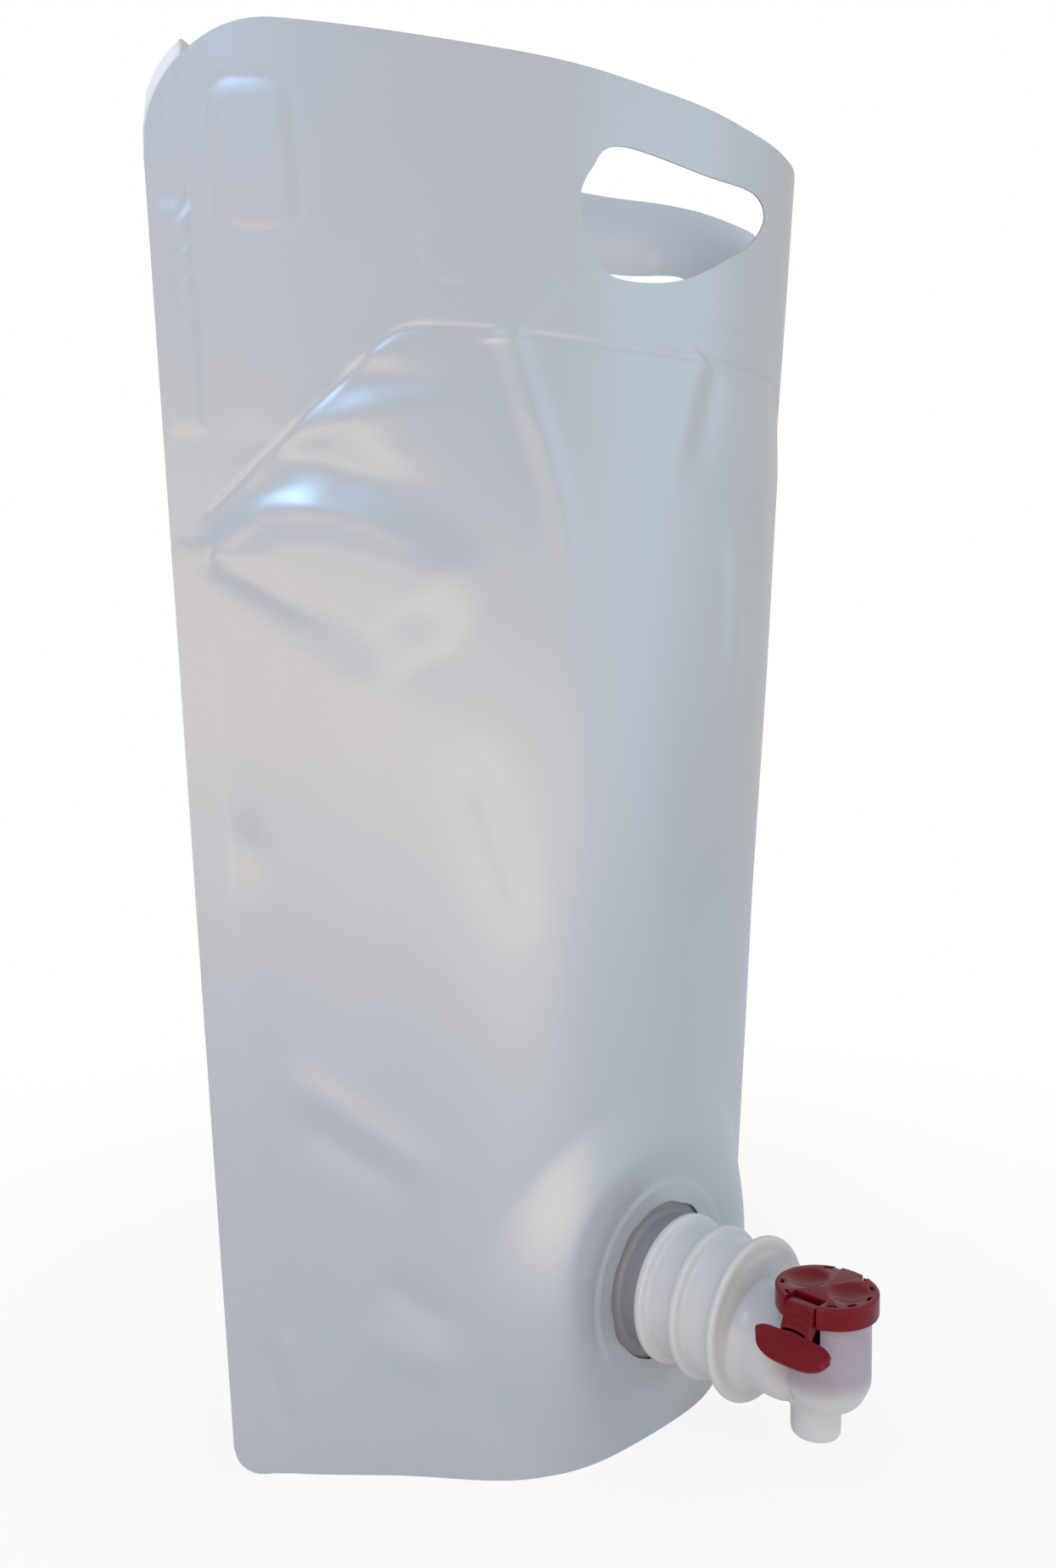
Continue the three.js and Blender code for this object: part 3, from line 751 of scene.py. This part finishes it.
tap = {
    "fit": 0.3, "barrelRadius": 17.5, "barrelWall": 1.7, "barrelEntry": 29.5,
    "throatRadius": 13.5, "throatDrop": 5, "flangeRadius": 23.4, "flangeThickness": 2.6,
    "reach": 59, "radius": 12.1, "wall": 1.5, "top": 58.7, "shoulderTop": 35,
    "nozzleTop": 28.5, "nozzleRadius": 6.9, "nozzleBore": 5.9, "nozzleEnd": 20, "nozzleBack": 3.2,
    "seatRadius": 3.9, "seatThickness": 1.5, "membraneZ": 43.5, "membraneThickness": 1.4,
    "ledge": 1.1,
    "capRadius": 14.05, "capTop": 62, "capSkirt": 6, "capPlate": 2.9, "dish": 1.4, "notchHalf": 4.9,
    "notchDepth": 6.2, "pivotReach": 11.2, "pivotZ": 57.9, "pinRadius": 1.1, "pinHalf": 6.2,
    "leverHalf": 4.3, "leverThickness": 2.3, "armTip": 2.9, "stemOut": 17.6, "stemBottom": 51.2,
    "meshStep": 0.00045, "meshShare": 0.35, "rearNotchHalf": 1.1, "rearNotchApart": 4.2,
    "rearNotchReach": 2.2, "rearNotchDepth": 1.8, "dishRadius": 14, "dishApart": 6.4,
    "rimSlots": (112, 140, 172, 205, 232, 300, 330, 60), "ribs": 5,
    "wingHalf": 11.5, "wingDepth": 8, "wingThickness": 1.8, "wingSlope": 42,
    "headRadius": 4.4, "headThickness": 1.6, "rodRadius": 1.7, "plugRadius": 4.9,
    "plugThickness": 1.6,
}
tap["y"] = spout["y"] - tap["reach"]

filmSkin = makeFilmSkin()
# the inner layer is plainer and whiter
filmLining = mottled(
    "filmLining", (0.74, 0.755, 0.775), (0.78, 0.785, 0.79), 9, 0.5, 420, 0.4, 0.5, 0.05, 0.0003)[0]
filmEdge = mottled(
    "filmCutEdge", (0.10, 0.10, 0.115), (0.17, 0.17, 0.18), 90, 0.6, 900, 0.45, 0.6, 0.05,
    0.0002)[0]
naturalPlastic = makeNaturalPlastic()
tapPlastic = makeTapPlastic()
redPlastic = makeRedPlastic()
membraneRubber = mottled(
    "softRubber", (0.55, 0.53, 0.5), (0.6, 0.58, 0.55), 60, 0.5, 900, 0.55, 0.7, 0.08, 0.0002)[0]
print("materials made")

filmPiece("frontFilm", "film_front", frontPoint, 1, frontRelief, bag["cell"], bag["topCorner"],
          carryHole(), True)
filmPiece("backFilm", "film_back", backPoint, -1, backRelief, 2 * bag["cell"], bag["backCorner"],
          carryHole(film["backHoleShift"]), False)


def makeBaseFilm():
    seal = bag["sideSeal"] / bag["width"]
    tuck, gap = 0.03, 0.6    # share kept clear of the seals, clearance from the films
    columns, rows = 90, 60
    share, row = np.meshgrid(np.linspace(seal + tuck, 1 - seal - tuck, columns),
                             np.linspace(0, 1, rows), indexing="ij")
    away = np.abs(share - 0.5) / (0.5 - seal)
    high = lerp(bag["gussetLow"], bag["gussetHigh"], away ** 4) + 0.5
    front = frontPoint(share, high)
    front = front - gap * surfaceNormal(frontPoint, share, high)
    back = backPoint(share, high)
    back = back + gap * surfaceNormal(backPoint, share, high)
    points = lerp(front, back, row[..., None])
    middle = np.sin(row * math.pi)
    points[..., 2] += middle * (0.8 * np.sin(share * 21) * np.sin(row * 9)
                                + 0.6 * np.sin(share * 37 + 2))
    piece = addPiece("baseFilm", toFrame(points).reshape(-1, 3), gridFaces(columns, rows),
                     smoothAngle=80)
    thicken(piece, bag["skin"] / 1000)
    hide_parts("film_base")


makeBaseFilm()
print("films made")


# Turned pieces: a profile of (radius, place) about the spout's axis or the chamber's upright axis
def turned(name, profile, axis, segments=96, drop=0, back=0, body=None, closed=True):
    vertices, faces = [], []
    rings = []
    for radius, place in profile:
        if radius < 1e-6:
            rings.append([len(vertices)])
            vertices.append(axisPoint(axis, 0, 0, place, drop, back))
            continue
        a, b = radius * np.cos(fullTurn(segments)), radius * np.sin(fullTurn(segments))
        rings.append(list(range(len(vertices), len(vertices) + segments)))
        vertices.extend(axisPoint(axis, p, q, place, drop, back) for p, q in zip(a, b))
    pairs = list(zip(rings[:-1], rings[1:]))
    if closed and len(rings[0]) > 1:
        pairs.append((rings[-1], rings[0]))
    for low, high in pairs:
        for i in range(segments):
            j = (i + 1) % segments
            corners = [low[i % len(low)], low[j % len(low)], high[j % len(high)],
                       high[i % len(high)]]
            kept = list(dict.fromkeys(corners))
            if len(kept) > 2:
                faces.append(kept)
    return addPiece(name, toFrame(vertices), faces, body=body)


def axisPoint(axis, p, q, place, drop, back):
    if axis == "spout":
        return spout["x"] + p, spout["y"] - place, spout["z"] - drop + q
    return spout["x"] + p, tap["y"] + back + q, place


def rounded(profile, radius, steps=4):
    # rounds each inner corner of an open or closed profile by at most radius
    out = []
    count = len(profile)
    for i, point in enumerate(profile):
        here = np.array(point, float)
        before = np.array(profile[i - 1], float)
        after = np.array(profile[(i + 1) % count], float)
        if point[0] < 1e-6:
            out.append(tuple(here))
            continue
        r = min(radius, 0.45 * np.linalg.norm(before - here), 0.45 * np.linalg.norm(after - here))
        start = here + (before - here) / max(np.linalg.norm(before - here), 1e-9) * r
        end = here + (after - here) / max(np.linalg.norm(after - here), 1e-9) * r
        for t in np.linspace(0, 1, steps + 1):
            out.append(tuple((1 - t) ** 2 * start + 2 * t * (1 - t) * here + t * t * end))
    return out


# faces over the corners of a box, with z changing fastest
boxFaces = [(0, 1, 3, 2), (4, 6, 7, 5), (0, 4, 5, 1), (2, 3, 7, 6), (0, 2, 6, 4), (1, 5, 7, 3)]


def block(name, x0, x1, y0, y1, z0, z1):
    corners = [(x, y, z) for x in (x0, x1) for y in (y0, y1) for z in (z0, z1)]
    points = toFrame([(spout["x"] + x, tap["y"] + y, z) for x, y, z in corners])
    return addPiece(name, points, boxFaces, body=None)


def finishPiece(piece, body, replaced, material, angle=40):
    piece.data.materials.clear()
    piece.data.materials.append(material)
    tidyNormals(piece)
    shade(piece, angle)
    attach(piece, body)
    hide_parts(replaced)
    return piece


def makeGland():
    bore = tap["barrelRadius"] + tap["fit"]
    inner = -bag["sealGap"] - spout["weldThickness"]
    neck, ring = spout["neckRadius"], spout["ringRadius"]
    profile = [(bore, inner), (spout["weldRadius"], inner), (spout["weldRadius"], -bag["sealGap"]),
               (spout["footRadius"] + 0.4, -bag["sealGap"]), (neck + 0.2, 0.6), (neck, 1.6)]
    for place in spout["ringPlaces"]:
        half = spout["ringThickness"] / 2
        profile += [(neck, place - half - 1.3), (neck + 0.5, place - half - 0.5),
                    (ring - 0.7, place - half),
                    (ring, place - half + 0.5), (ring, place + half - 0.5),
                    (ring - 0.7, place + half),
                    (neck + 0.5, place + half + 0.5), (neck, place + half + 1.3)]
    profile += [(spout["neckRadius"], spout["neckLength"]), (bore, spout["neckLength"])]
    piece = turned("glandTurned", rounded(profile, 0.8, 3), "spout", 128)
    finishPiece(piece, "pouch", "gland", naturalPlastic, 50)


def makeTapBody():
    start = spout["neckLength"] + tap["fit"]
    end = start + tap["flangeThickness"]
    throatEnd = tap["reach"] - 4
    radius = tap["flangeRadius"]
    throat = tap["throatRadius"]
    ledgeTop, behind, barrel = tap["membraneZ"], tap["nozzleBack"], tap["barrelRadius"]
    nozzleHigh, nozzleLow, entry = tap["nozzleTop"], tap["nozzleEnd"], tap["barrelEntry"]
    shoulder, nozzleOut = tap["shoulderTop"], tap["nozzleRadius"]
    flange = turned("tapMoulding", rounded([
        (0, start - entry), (barrel, start - entry),
        (barrel, start), (radius - 0.4, start), (radius, start + 0.8), (radius, end - 0.6),
        (radius - 0.9, end), (radius - 2.4, end - 0.1), (radius - 4, end - 0.6), (0, end - 0.6)],
        0.7),
        "spout", 128)
    neck = turned("throat", rounded([
        (0, end - 1.5), (throat + 2.2, end - 1.5), (throat + 2.0, end - 0.4),
        (throat + 0.6, end + 1.6),
        (throat, end + 4), (throat, throatEnd - 6), (throat - 2.5, throatEnd - 2),
        (throat - 7, throatEnd),
        (0, throatEnd)], 2), "spout", 96, drop=tap["throatDrop"])
    chamber = turned("chamber", rounded([
        (0, shoulder - 5), (nozzleOut + 1, shoulder - 5),
        (tap["radius"] - 2.4, shoulder - 3.2), (tap["radius"], shoulder + 1.4),
        (tap["radius"], tap["top"]), (0, tap["top"])], 1.5), "upright", 96)
    nozzle = turned("nozzle", rounded([
        (0, nozzleLow), (nozzleOut - 0.2, nozzleLow),
        (nozzleOut, nozzleLow + 1.5), (nozzleOut, nozzleHigh),
        (nozzleOut + 2.8, shoulder - 3.4), (0, shoulder - 1)], 1.2),
        "upright", 72, back=behind)
    cutWith(flange, [neck, chamber, nozzle], "UNION")
    remesh = flange.modifiers.new("merge", "REMESH")
    remesh.mode = "VOXEL"
    remesh.voxel_size = tap["meshStep"]
    soft = flange.modifiers.new("soft", "SMOOTH")
    soft.factor, soft.iterations = 0.5, 5
    fewer = flange.modifiers.new("fewer", "DECIMATE")
    fewer.ratio = tap["meshShare"]
    applyModifiers(flange)
    bore = barrel - tap["barrelWall"]
    narrow = throat - tap["barrelWall"]
    inner = tap["radius"] - tap["wall"]
    floor = nozzleHigh + 3
    roof = ledgeTop - 0.5
    barrelBore = turned("barrelBore", [(0, 0), (bore, 0), (bore, start - 4), (narrow, end - 1),
            (0, end - 1)], "spout")
    throatBore = turned("throatBore", [(0, start - 3), (narrow - 3, start - 3), (narrow, end - 1),
                                       (narrow, throatEnd - 8), (narrow - 4, throatEnd - 3),
                                       (0, throatEnd - 3)],
                        "spout", drop=tap["throatDrop"])
    ceiling = block("ceiling", -20, 20, -20, tap["radius"], roof - 1, tap["capTop"])
    cutWith(throatBore, [ceiling])
    dry = turned("dryBore", [(0, ledgeTop), (inner, ledgeTop), (inner, tap["top"] + 1),
                             (0, tap["top"] + 1)], "upright")
    low = floor + tap["seatThickness"]
    wet = turned("wetBore", [(0, low), (inner - tap["ledge"] - 1, low),
                             (inner - tap["ledge"], low + 2),
                             (inner - tap["ledge"], ledgeTop + 1), (0, ledgeTop + 1)], "upright")
    outlet = turned("outletBore", [(0, nozzleLow - 1), (tap["nozzleBore"], nozzleLow - 1),
                                   (tap["nozzleBore"], floor), (0, floor)], "upright", 72,
                                   back=behind)
    seat = turned("seatBore", [(0, floor - 1), (tap["seatRadius"], floor - 1),
                               (tap["seatRadius"], floor + 3),
                               (0, floor + 3)], "upright", 48, back=behind)
    wide = tap["pinHalf"] + 0.7
    slot = block("slot", -tap["radius"] - 6, -6, -tap["notchHalf"], tap["notchHalf"], roof + 3,
                 tap["top"] + 1)
    upper = block("upperSlot", -tap["radius"] - 6, -6, -wide, wide,
                  tap["capTop"] - tap["capSkirt"], tap["top"] + 1)
    cutWith(flange, [barrelBore, throatBore, dry, wet, outlet, seat, slot, upper])
    finishPiece(flange, "pouch", "tap_body", tapPlastic, 48)


def makeCap():
    capHigh, slotHalf = tap["capTop"], tap["notchHalf"]
    low = capHigh - tap["capSkirt"]
    plate = capHigh - tap["capPlate"]
    inner = tap["radius"] + tap["fit"]
    outer = tap["capRadius"]
    cap = turned("capMoulding", rounded([
        (0, plate), (inner, plate), (inner, low), (outer - 0.15, low), (outer, low + 0.4),
        (outer, capHigh - 0.3), (outer - 0.5, capHigh), (0, capHigh)], 0.35, 3), "upright", 128)
    ears = []
    for side in (-1, 1):
        near, far = sorted((side * slotHalf, side * (tap["pinHalf"] + 0.3)))
        ears.append(block("ear", -tap["pivotReach"] - 1.4, -tap["pivotReach"] + 1.9, near, far,
                          low + 0.4, plate + 0.5))
    cutWith(cap, ears, "UNION")
    notch = block("notch", -outer - 1, -outer + tap["notchDepth"], -slotHalf, slotHalf,
                  low - 1, capHigh + 1)
    cutters = [notch, pinBar("pinHole", tap["pinRadius"] + tap["fit"], tap["pinHalf"] + 0.15)]
    for side in (-1, 1):
        cutters.append(dishCutter(side))
        middle, half = side * tap["rearNotchApart"], tap["rearNotchHalf"]
        cutters.append(block("backNotch", outer - tap["rearNotchReach"], outer + 1, middle - half,
                             middle + half, capHigh - tap["rearNotchDepth"], capHigh + 1))
    cutters += [rimSlot(turn) for turn in tap["rimSlots"]]
    cutWith(cap, cutters)
    softenEdges(cap, 0.00018, 2, 30)
    finishPiece(cap, "pouch", "tap_cap", redPlastic, 35)


def dishCutter(side):
    # a broad shallow scoop, longer across the cap than along it
    radius = tap["dishRadius"]
    rows, columns = 24, 48
    vertices = []
    for i in range(rows + 1):
        lift = math.pi * i / rows
        for j in range(columns):
            turn = 2 * math.pi * j / columns
            vertices.append((spout["x"] + 0.8 + 1.05 * radius * math.sin(lift) * math.cos(turn),
                             tap["y"] + side * tap["dishApart"]
                             + 0.9 * radius * math.sin(lift) * math.sin(turn),
                             tap["capTop"] + radius - tap["dish"] + radius * math.cos(lift)))
    piece = addPiece("dish", toFrame(vertices), tubeFaces(rows, columns), body=None)
    editMesh(piece, joinClosePoints)
    tidyNormals(piece)
    return piece


def rimSlot(degrees):
    # a small pocket in the rim's top, square to the radius
    turn = math.radians(degrees)
    radial = np.array([math.sin(turn), math.cos(turn), 0])
    across = np.array([math.cos(turn), -math.sin(turn), 0])
    middle = np.array([spout["x"], tap["y"], tap["capTop"]])
    vertices = []
    for r in (11.5, 12.6):
        for a in (-1.3, 1.3):
            for z in (-1.3, 1.0):
                vertices.append(middle + radial * r + across * a + np.array([0, 0, z]))
    return addPiece("rimSlot", toFrame(vertices), boxFaces, body=None)


def pinBar(name, radius, half, segments=24):
    vertices = []
    for y in (-half, half):
        for turn in fullTurn(segments):
            vertices.append((spout["x"] - tap["pivotReach"] + radius * math.cos(turn), tap["y"] + y,
                             tap["pivotZ"] + radius * math.sin(turn)))
    faces = tubeFaces(1, segments)
    faces += [list(range(segments)), list(range(segments, 2 * segments))]
    return addPiece(name, toFrame(vertices), faces, body=None)


def makeLever():
    half = tap["leverThickness"] / 2
    tipZ = tap["pivotZ"] - 0.9 - half
    r, z = tap["pivotReach"], tap["pivotZ"]
    outline = [(r + 2.2, tap["capTop"] - 0.7), (tap["stemOut"], tap["stemBottom"]),
               (tap["stemOut"] - 2, tap["stemBottom"] - 1), (r + 0.3, z - 2.2), (r - 1, tipZ + 0.2),
               (tap["armTip"], tipZ), (tap["armTip"] - half, tipZ + half),
               (tap["armTip"], tipZ + tap["leverThickness"]), (r - 1.4, z + 0.9),
               (r - 0.9, tap["capTop"] - 0.7)]
    count = len(outline)
    vertices = [(spout["x"] - reach, tap["y"] + side * tap["leverHalf"], high)
                for side in (-1, 1) for reach, high in outline]
    faces = [list(range(count)), list(range(count, 2 * count))]
    faces += tubeFaces(1, count)
    stem = addPiece("leverMoulding", toFrame(vertices), faces, body=None)
    softenEdges(stem, 0.0003, 2, 30)
    top = np.array([spout["x"] - r - 2.2, tap["y"], tap["capTop"] - 0.7])
    foot = np.array([spout["x"] - tap["stemOut"], tap["y"], tap["stemBottom"]])
    joined = [pinBar("pin", tap["pinRadius"], tap["pinHalf"]), makeWing()]
    joined += [gripRib(lerp(top, foot, (i + 0.8) / (tap["ribs"] + 0.8)), foot - top)
               for i in range(tap["ribs"])]
    cutWith(stem, joined, "UNION")
    finishPiece(stem, "lever", "tap_lever", redPlastic, 40)


def gripRib(middle, down):
    # an arched rib that stands a little proud of the stem's outer face
    down = down / np.linalg.norm(down)
    out = np.array([-down[2], 0, down[0]])
    out = -out if out[0] > 0 else out
    steps, sides = 16, 8
    vertices = []
    for i in range(steps + 1):
        across = lerp(-1, 1, i / steps) * (tap["leverHalf"] - 0.9)
        arch = 0.7 * (across / tap["leverHalf"]) ** 2 - 0.3
        centre = middle + np.array([0, across, 0]) + down * arch
        for j in range(sides):
            turn = 2 * math.pi * j / sides
            vertices.append(centre + 0.34 * (math.cos(turn) * down + math.sin(turn) * out))
    faces = tubeFaces(steps, sides)
    faces += [list(range(sides)), list(range(steps * sides, (steps + 1) * sides))]
    return addPiece("rib", toFrame(vertices), faces, body=None)


def makeWing():
    # a round-ended paddle, curled down along its outer edge, with a faint raised lip
    slope = math.radians(tap["wingSlope"])
    out = np.array([-math.cos(slope), 0, -math.sin(slope)])
    up = np.array([-math.sin(slope), 0, math.cos(slope)])
    root = np.array([spout["x"] - tap["stemOut"] + 3, tap["y"], tap["stemBottom"] + 1.4])
    columns, rows = 41, 15
    layers = []
    for level in (0, 1):
        layer = []
        for i in range(columns):
            u = lerp(-1, 1, i / (columns - 1))
            tipWidth = tap["wingHalf"] * u
            innerEdge = 1.6 * abs(u) ** 8
            outerEdge = tap["wingDepth"] * (1 - 0.4 * abs(u) ** 3 - 0.22 * abs(u) ** 10)
            for j in range(rows):
                v = j / (rows - 1)
                reach = lerp(innerEdge, outerEdge, v)
                curl = -0.9 * v ** 3 + 0.5 * max(v, abs(u)) ** 10
                curl -= 0.25 * math.sin(v * math.pi) * (1 - u * u)
                thick = tap["wingThickness"] * (1 - 0.35 * v ** 4) * (1 - 0.25 * abs(u) ** 6)
                middle = root + np.array([0, tipWidth, 0])
                layer.append(middle + out * reach + up * (curl + level * thick))
        layers.append(layer)
    count = columns * rows
    faces = [tuple(f) for f in gridFaces(columns, rows)]
    faces += [tuple(count + k for k in reversed(f)) for f in gridFaces(columns, rows)]
    rim = [i * rows for i in range(columns)] + [(columns - 1) * rows + j for j in range(1, rows)]
    rim += [i * rows + rows - 1 for i in range(columns - 2, -1, -1)] + [j for j in range(rows - 2,
            0, -1)]
    for a, b in zip(rim, rim[1:] + rim[:1]):
        faces.append((a, b, count + b, count + a))
    wing = addPiece("wing", toFrame(layers[0] + layers[1]), faces, body=None)
    softenEdges(wing, 0.0004, 3, 50)
    return wing


def makeInnerPieces():
    headTop = tap["pivotZ"] - 0.9 - tap["leverThickness"] / 2 - tap["fit"]
    plugTop = tap["nozzleTop"] + 3 - tap["fit"]
    plug, rod, head = tap["plugRadius"], tap["rodRadius"], tap["headRadius"]
    plunger = turned("plungerTurned", rounded([
        (0, plugTop - tap["plugThickness"]), (plug - 0.4, plugTop - tap["plugThickness"]),
        (plug, plugTop - tap["plugThickness"] + 0.4), (plug, plugTop), (rod, plugTop),
        (rod, headTop - tap["headThickness"]), (head, headTop - tap["headThickness"]),
        (head, headTop), (0, headTop)], 0.25, 3), "upright", 64, back=tap["nozzleBack"])
    finishPiece(plunger, "plunger", "tap_plunger", redPlastic)
    low = tap["membraneZ"] + tap["fit"]
    high = low + tap["membraneThickness"]
    outer = tap["radius"] - tap["wall"] - tap["fit"]
    membrane = turned("membraneDisc", rounded([
        (0, low), (outer, low), (outer, high), (outer - 1.2, high), (outer - 2.2, high - 0.5),
        (outer - 4.2, high - 0.5), (outer - 5.2, high), (0, high)], 0.3, 3), "upright", 64)
    hole = turned("rodHole", [(0, low - 1), (tap["rodRadius"] + tap["fit"], low - 1),
                              (tap["rodRadius"] + tap["fit"], high + 1), (0, high + 1)],
                  "upright", 32, back=tap["nozzleBack"])
    cutWith(membrane, [hole])
    finishPiece(membrane, "pouch", "tap_membrane", membraneRubber)


makeGland()
makeTapBody()
makeCap()
makeLever()
makeInnerPieces()
print("spout and tap made")


# Floor, world and lamps
studio = {"floorHalf": 3.0, "floorColor": 0.86, "floorGlow": 0.85, "worldStrength": 0.7}


def seenDirectly(nodes, links):
    # 1 for camera rays and for rays that pass through a clear piece
    path = nodes.new("ShaderNodeLightPath")
    seen = addNode(nodes, "ShaderNodeMath", operation="MAXIMUM")
    wire(links, [(path, "Is Camera Ray", seen, 0), (path, "Is Transmission Ray", seen, 1)])
    return seen.outputs[0]


def makeFloor():
    half = studio["floorHalf"]
    floor = addPiece("floorPlane", [(-half, -half, 0), (half, -half, 0), (half, half, 0),
            (-half, half, 0)],
                     [(0, 1, 2, 3)], body=None)
    material, nodes, links, shader = newMaterial("paleFloor")
    setInputs(shader, {"Base Color": (studio["floorColor"],) * 3 + (1,), "Roughness": 0.9})
    seen = seenDirectly(nodes, links)
    part = addNode(nodes, "ShaderNodeMath", operation="MULTIPLY")
    place = nodes.new("ShaderNodeTexCoord")
    away = addNode(nodes, "ShaderNodeVectorMath", operation="LENGTH")
    links.new(place.outputs["Object"], away.inputs[0])
    fade = addNode(nodes, "ShaderNodeMapRange", interpolation_type="SMOOTHSTEP")
    setInputs(fade, {"From Min": 0.12, "From Max": 0.5, "To Min": studio["floorGlow"]})
    wire(links, [(away, "Value", fade, "Value"), (fade, "Result", part, 1)])
    links.new(seen, part.inputs[0])
    glow = nodes.new("ShaderNodeEmission")
    setInputs(glow, {"Strength": 1.0})
    mix = nodes.new("ShaderNodeMixShader")
    wire(links, [
        (part, 0, mix, 0), (shader, 0, mix, 1), (glow, 0, mix, 2),
        (mix, 0, nodes["Material Output"], "Surface")])
    floor.data.materials.append(material)


def makeWorld():
    world = bpy.data.worlds.new("studioWorld")
    scene.world = world
    world.use_nodes = True
    nodes, links = world.node_tree.nodes, world.node_tree.links
    back = nodes["Background"]
    setInputs(back, {"Color": (0.985, 0.99, 1, 1), "Strength": studio["worldStrength"]})
    white = nodes.new("ShaderNodeBackground")
    setInputs(white, {"Color": (1, 1, 1, 1)})
    seen = seenDirectly(nodes, links)
    mix = nodes.new("ShaderNodeMixShader")
    links.new(seen, mix.inputs[0])
    wire(links, [
        (back, 0, mix, 1), (white, 0, mix, 2), (mix, 0, nodes["World Output"], "Surface")])


def makeLamp(name, place, aim, size, power, color):
    data = bpy.data.lights.new(name, "AREA")
    data.shape = "RECTANGLE"
    data.size, data.size_y = size
    data.energy = power
    data.color = color
    lamp = bpy.data.objects.new(name, data)
    lamp.location = place
    lamp.rotation_euler = (Vector(aim) - Vector(place)).to_track_quat("-Z", "Y").to_euler()
    scene.collection.objects.link(lamp)


makeFloor()
makeWorld()
makeLamp("warmLeft", (-1.7, -0.8, 0.2), (0, 0, 0.12), (1.8, 0.8), 7.5, (1, 0.68, 0.5))
makeLamp("warmLow", (-0.5, -1.6, 0.14), (0, 0, 0.05), (1.4, 0.26), 4, (1, 0.78, 0.6))
makeLamp("coolRight", (0.9, -1.6, 0.8), (0, 0, 0.25), (1.1, 1.4), 4, (0.38, 0.72, 1))
makeLamp("coolTop", (-1.1, -0.5, 1.7), (0, 0, 0.3), (0.5, 0.5), 11, (0.3, 0.58, 1))
print("stage lit")
